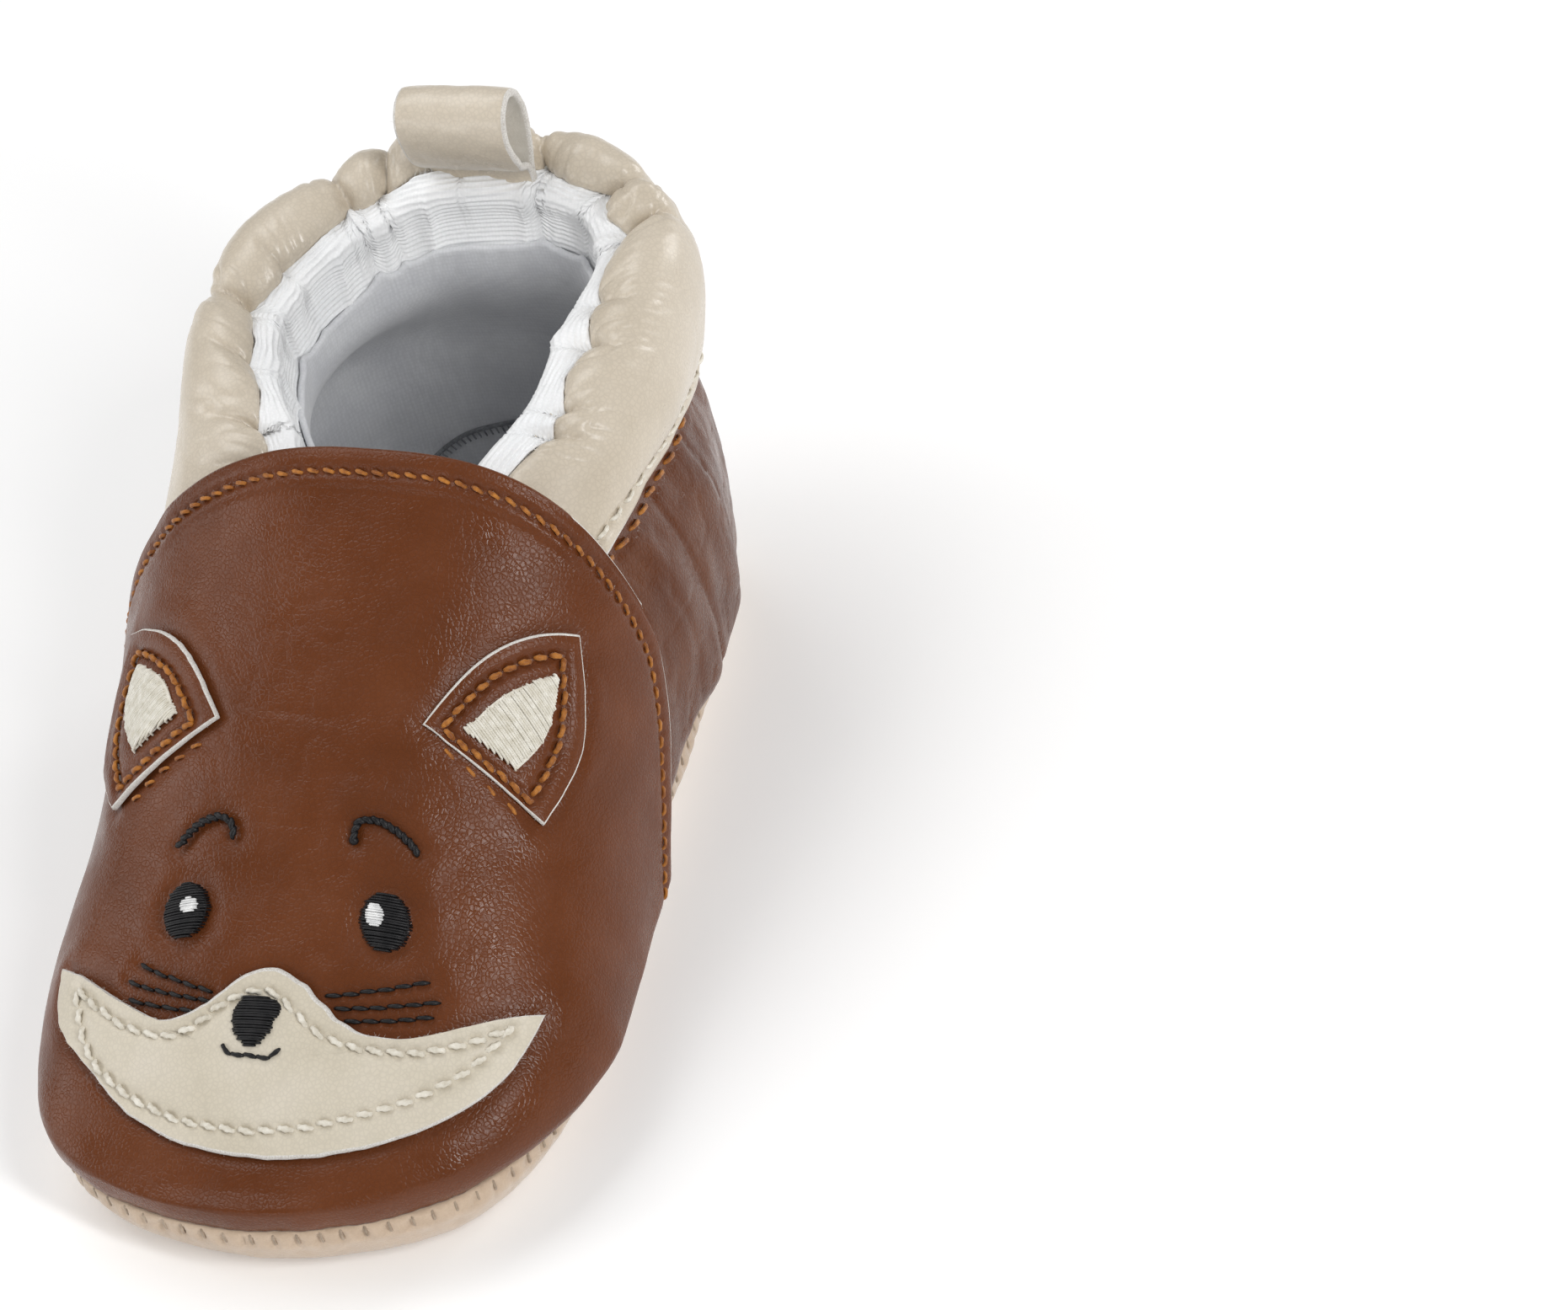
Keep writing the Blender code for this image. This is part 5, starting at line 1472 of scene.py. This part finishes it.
def make_heel_lining(wall, out, rib, rib_out):
    """Jersey inside the heel panel, running up behind the ribbed band, with its overlocked seam."""
    columns, rows = int(260 * FINE), int(90 * FINE)
    wall, out, rib, rib_out = (some(grid, columns) for grid in (wall, out, rib, rib_out))
    depth = LEATHER + 1.9
    rings = [at_share(wall, h) - at_share(out, h) * depth for h in (0.0, 0.25, 0.5, 0.72)]
    rings += [at_share(rib, h) - at_share(rib_out, h) * inset for h, inset in ((1.0, 0.85), (0.70, 1.5))]
    lines = np.array(through(rings, columns, rows))
    flat = normals(lines)
    calm = 1 - smooth_step((np.linspace(0, 1, rows) - 0.5) / 0.25)
    rise = 0.25 + calm[None] * relief(lines, LINING_RELIEF)
    inner = lines - flat * rise[..., None]
    form = Form()
    form.shell(inner + flat * 0.8, inner, (0, 0, 0), rim=3)
    seam = Curve(OVERLOCK).at(np.linspace(0, 1, 60))
    _, where = nearest(seam, inner.reshape(-1, 3))
    path = inner.reshape(-1, 3)[where] - flat.reshape(-1, 3)[where] * 0.15
    path = dense(Curve(path[::12]).at(np.linspace(0, 1, 80)), 0.2)
    up = -flat.reshape(-1, 3)[nearest(path, inner.reshape(-1, 3))[1]]
    form.tubes([path], up[None], np.full(len(path), 0.3), sides=8, kind=1)
    across = unit(np.cross(np.gradient(path, axis=0), up))
    teeth = path[2:-2:4]
    lift = up[2:-2:4] * 0.3
    side = across[2:-2:4]
    ends = [np.linspace(a - s * 0.2 + l, a + s * 1.1 + l * 0.6, 5) for a, s, l in zip(teeth, side, lift)]
    form.tubes(ends, up[2:-2:4][:, None], np.full(5, 0.12), sides=5, kind=1)
    put(form.build("heel_jersey", (LINING, GREY_THREAD)), "lining_cloth", "heel_lining")


# ---------------------------------------------------------------- the pull loop

LOOP_WIDTH = 13.0
LOOP_THICKNESS = 0.85
LOOP_RELIEF = ((0.12, 3.5, 2), (0.07, 1.6, 3))
# The strap's line as (y, z) from the hinge.
LOOP_OUTLINE = ((0.95, 0), (1.2, 2), (1.9, 4.6), (1.9, 7.5), (0.8, 10.2), (-1.6, 11.8), (-4.2, 11),
                (-5.6, 8.3), (-5.2, 4.8), (-3.2, 1.7), (-0.95, 0))


def make_pull_loop():
    """A strap of leather with a pale back, folded into a loop and sewn into the seam at the lip."""
    outline = ((0.75, -4.5), (0.85, -2.2)) + LOOP_OUTLINE + ((-0.85, -2.2), (-0.75, -4.5))
    curve = Curve(outline).at(np.linspace(0, 1, int(150 * FINE)))
    way = unit(np.gradient(curve, axis=0))
    left = np.column_stack([-way[:, 1], way[:, 0]])
    across = int(60 * FINE)
    grid = np.zeros((len(curve), across, 3))
    grid[..., 0] = np.linspace(-LOOP_WIDTH / 2, LOOP_WIDTH / 2, across)[None]
    grid[..., 1] = curve[:, None, 0]
    grid[..., 2] = curve[:, None, 1] + 1.3 * smooth_step(curve[:, None, 1] / 4)
    inwards = np.zeros_like(grid)
    inwards[..., 1] = left[:, None, 0]
    inwards[..., 2] = left[:, None, 1]
    grid = grid + LOOP_HINGE
    narrow = smooth_step((grid[..., 2] - 59.5) / 5)
    middle = LOOP_HINGE[0]
    grid[..., 0] = middle + (grid[..., 0] - middle) * (0.93 + 0.07 * narrow)
    edge = LOOP_WIDTH / 2 - np.abs(grid[..., 0] - middle)
    rise = relief(grid, LOOP_RELIEF) - 0.2 * np.exp(-edge / 0.8)
    rise -= 0.03 * ridges(grid, 2.6, 5, 7)
    front = grid - inwards * rise[..., None]
    back = front + inwards * (LOOP_THICKNESS + 0.1 * bell(edge, 1.0))[..., None]
    form = Form()
    form.shell(front, back, (0, 1, 2), rim=6, bulge=0.8)
    for column in (0, -1):
        places = (front[:, column] + back[:, column]) / 2
        ways = np.zeros_like(places)
        ways[:, 0] = -1 if column == 0 else 1
        fuzz(form, places, ways + inwards[:, column] * 0.4, inwards[:, column], 0.5, radius=0.018,
             count=int(500 * FINE), kind=2, seed=31 - column)
    loop = form.build("pull_loop_strap", (BEIGE, PALE_BACK, WHITE_EDGE))
    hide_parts("pull_loop")
    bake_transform(loop)


# ---------------------------------------------------------------- the sole

SUEDE_THICKNESS = 1.4
SUEDE_RELIEF = ((0.12, 2.2, 3), (0.18, 7, 4))
SOLE_STITCH = 2.6
SOLE_STITCH_RADIUS = 0.2
SOLE_CENTRE = np.array((0.0, 3.0, 0.0))
INSOLE_INSET = 3.1
INSOLE_TOP = 6.1
INSOLE_BOTTOM = 4.35
BOTTOM_INSET = ((-62, 5.6), (-45, 5.0), (-25, 3.6), (40, 3.4), (62, 4.4))


def seam_ring(inset, z, count):
    """The sole's outline drawn in by an inset that may vary along it, at a height that may vary too."""
    plan = resample(SEAM_FINE, count + 1)[:-1]
    way = np.roll(plan, -1, axis=0) - np.roll(plan, 1, axis=0)
    out = np.column_stack([way[:, 1], -way[:, 0]]) / np.linalg.norm(way, axis=1, keepdims=True)
    y = plan[:, 1]
    plan = plan - out * np.broadcast_to(inset(y), y.shape)[:, None]
    return np.column_stack([plan, np.broadcast_to(z(y), y.shape)])


def bottom_inset(y):
    """How far in from the seam the sole's flat underside starts."""
    return read(BOTTOM_INSET, y)


def make_outsole():
    """The suede dish that wraps up to the seam, with the seam's stitches sunk in it."""
    count = int(700 * FINE)
    outer, inner = [], []
    for share in np.linspace(0, 1, int(26 * FINE)):
        turn = math.pi / 2 * share
        for rings, depth in ((outer, 0.0), (inner, SUEDE_THICKNESS)):
            rings.append(seam_ring(lambda y: depth + bottom_inset(y) * (1 - math.cos(turn)),
                                   lambda y: depth + (seam_z(y) - depth) * (1 - math.sin(turn)), count))
    outer = np.array(outer)
    inner = np.array(inner)
    inner[0, :, 2] = outer[0, :, 2]
    out = unit(outer[0] - np.roll(outer[0], 1, axis=0))
    out = np.column_stack([out[:, 1], -out[:, 0], np.zeros(count)])
    travel = np.arange(count) * length_of(closed_line(outer[0])) / count
    beat = np.abs(((travel / SOLE_STITCH + 0.5) % 1) - 0.5) * SOLE_STITCH
    drop = seam_z(outer[0, :, 1])[None] - outer[..., 2]
    rise = relief(outer, SUEDE_RELIEF)
    rise = rise * smooth_step(drop / 1.5 + 0.15) * smooth_step(outer[..., 2] / 1.5)
    rise -= 0.45 * bell(beat, 0.32)[None] * bell(drop - 1.25, 0.75)
    rise += 0.22 * bell(drop - 2.4, 1.0) * (1 - bell(beat, 0.5)[None])
    rise -= 0.25 * bell(drop, 0.35)
    outer = outer + out[None] * rise[..., None]
    bottom = np.array([outer[-1] * (1 - s) + SOLE_CENTRE * s for s in (0.12, 0.5, 0.85)])
    floor = np.array([inner[-1] * (1 - s) + SOLE_CENTRE * s for s in (0.85, 0.4)])
    bottom[..., 2] = 0.0
    floor[..., 2] = SUEDE_THICKNESS
    form = Form()
    form.rings(np.vstack([bottom[::-1], outer[::-1], inner, floor[::-1]]))
    put(form.build("outsole_suede", (SUEDE,)), "suede", "outsole")
    make_sole_stitches(outer[0], out, travel)


def make_sole_stitches(rim, out, travel):
    """Short upright stitches round the suede, just below its edge."""
    starts = np.arange(SOLE_STITCH / 2, travel[-1], SOLE_STITCH)
    at = np.searchsorted(travel, starts - SOLE_STITCH / 2) % len(rim)
    top = rim[at] + out[at] * 0.02 - np.array((0, 0, 0.35))
    low = top - np.array((0, 0, 1.5)) + out[at] * 0.05
    middle = (top + low) / 2
    paths = []
    for a, m, b, o in zip(top, middle, low, out[at]):
        curve = Curve((a - o * 0.4, a - o * 0.05, m + o * 0.02, b - o * 0.1, b - o * 0.5))
        paths.append(curve.at(np.linspace(0, 1, 9)))
    form = Form()
    ups = np.broadcast_to(out[at][:, None], (len(paths), 9, 3))
    form.tubes(paths, ups, np.full(9, SOLE_STITCH_RADIUS), sides=7, lobes=0.15, twist=3)
    put(form.build("sole_stitches", (TAN,)), "cream_thread", "sole_stitching")


def make_insole():
    """The cloth-covered insole on its thin foam."""
    count = int(240 * FINE)
    shares = np.concatenate([np.linspace(0.02, 0.9, 26), np.linspace(0.92, 1, 6)])
    rim = seam_ring(lambda y: INSOLE_INSET, lambda y: SEAM_Z, count)
    middle = SOLE_CENTRE + (0, 0, SEAM_Z)
    top = np.array([middle + (rim - middle) * share for share in shares])
    edge = (1 - shares)[:, None] * 28
    top[..., 2] = INSOLE_TOP + 0.2 * noise(top, 9, 2) - 0.9 * np.exp(-edge / 1.2)
    low = np.array([middle + (rim - middle) * share for share in (1.0, 0.6, 0.1)])
    low[..., 2] = INSOLE_BOTTOM
    form = Form()
    form.rings(np.vstack([top, low]))
    put(form.build("insole_cloth", (LINING,)), "lining_cloth", "insole")


# ---------------------------------------------------------------- the studio

CAMERA_PLACE = np.array((277.8, -461.9, 532.3))
CAMERA_AZIMUTH = 26.1
CAMERA_ELEVATION = 43.6
CAMERA_ROLL = -15.2
CAMERA_LENS = 148.0
SENSOR_WIDTH = 36.0
FLOOR_REACH = 6000.0
FLOOR_HEIGHTS = (-20.0, -0.05)
SKY_STRENGTH = 0.32
LIGHT_TARGET = (0, 10, 30)
# Name, place, size and power of each light.
LIGHTS = (("top", (-300, 160, 760), (620, 420), 2.5),
          ("left", (-760, -200, 330), (420, 420), 1.5),
          ("front", (-250, -800, 200), (520, 240), 0.9),
          ("shoulder", (530, -290, 490), (80, 460), 2.7),
          ("rim", (620, 780, 260), (220, 420), 2.2))


def make_camera():
    """The photograph's camera."""
    azimuth, elevation, roll = (math.radians(a) for a in (CAMERA_AZIMUTH, CAMERA_ELEVATION, CAMERA_ROLL))
    back = np.array((math.sin(azimuth) * math.cos(elevation), -math.cos(azimuth) * math.cos(elevation),
                     math.sin(elevation)))
    right = np.array((math.cos(azimuth), math.sin(azimuth), 0.0))
    up = np.cross(back, right)
    turned_right = math.cos(roll) * right + math.sin(roll) * up
    turned_up = math.cos(roll) * up - math.sin(roll) * right
    data = bpy.data.cameras.new("camera")
    data.lens = CAMERA_LENS
    data.sensor_width = SENSOR_WIDTH
    data.clip_start = 0.01
    data.clip_end = 50.0
    camera = bpy.data.objects.new("camera", data)
    matrix = np.eye(4)
    matrix[:3, 0], matrix[:3, 1], matrix[:3, 2] = turned_right, turned_up, back
    matrix[:3, 3] = (CAMERA_PLACE + SHIFT) * MM
    camera.matrix_world = Matrix(matrix.tolist())
    bpy.context.scene.collection.objects.link(camera)
    bpy.context.scene.camera = camera


def add_light(name, place, size, power):
    """A soft rectangular light, given in millimetres, aimed at LIGHT_TARGET."""
    data = bpy.data.lights.new(name, "AREA")
    data.shape = "RECTANGLE"
    data.size, data.size_y = size[0] * MM, size[1] * MM
    data.energy = power
    lamp = bpy.data.objects.new(name, data)
    lamp.location = Vector(place) * MM
    lamp.rotation_euler = (Vector(LIGHT_TARGET) - Vector(place)).to_track_quat("-Z", "Y").to_euler()
    bpy.context.scene.collection.objects.link(lamp)


def make_studio():
    """A plain pale floor under a white sky and large soft lights."""
    form = Form()
    corners = np.array(((-1, -1), (1, -1), (1, 1), (-1, 1))) * FLOOR_REACH
    sides = [(k, (k + 1) % 4, (k + 1) % 4 + 4, k + 4) for k in range(4)]
    form.add([(x, y, z) for z in FLOOR_HEIGHTS for x, y in corners],
             [np.array([(3, 2, 1, 0), (4, 5, 6, 7)] + sides)], (0,))
    paper = Look("paper", (0.92, 0.92, 0.92), 0.9, Specular_IOR_Level=0.1, Emission_Color=(1, 1, 1, 1),
                 Emission_Strength=0.14)
    form.build("floor", (paper.done(),))
    world = bpy.data.worlds.new("studio")
    world.use_nodes = True
    sky = world.node_tree.nodes["Background"]
    sky.inputs["Color"].default_value = (1, 1, 1, 1)
    sky.inputs["Strength"].default_value = SKY_STRENGTH
    bpy.context.scene.world = world
    for light in LIGHTS:
        add_light(*light)
    bpy.context.scene.view_settings.view_transform = "Standard"


def main():
    make_vamp()
    make_vamp_lining()
    make_muzzle()
    make_ears()
    make_threads()
    base, out, skin = make_collar()
    make_padding(skin, out)
    wall, wall_out = make_heel_panel()
    rib, rib_out = make_rib_band(base, out, skin)
    make_heel_lining(wall, wall_out, rib, rib_out)
    make_pull_loop()
    make_outsole()
    make_insole()
    make_camera()
    make_studio()


main()
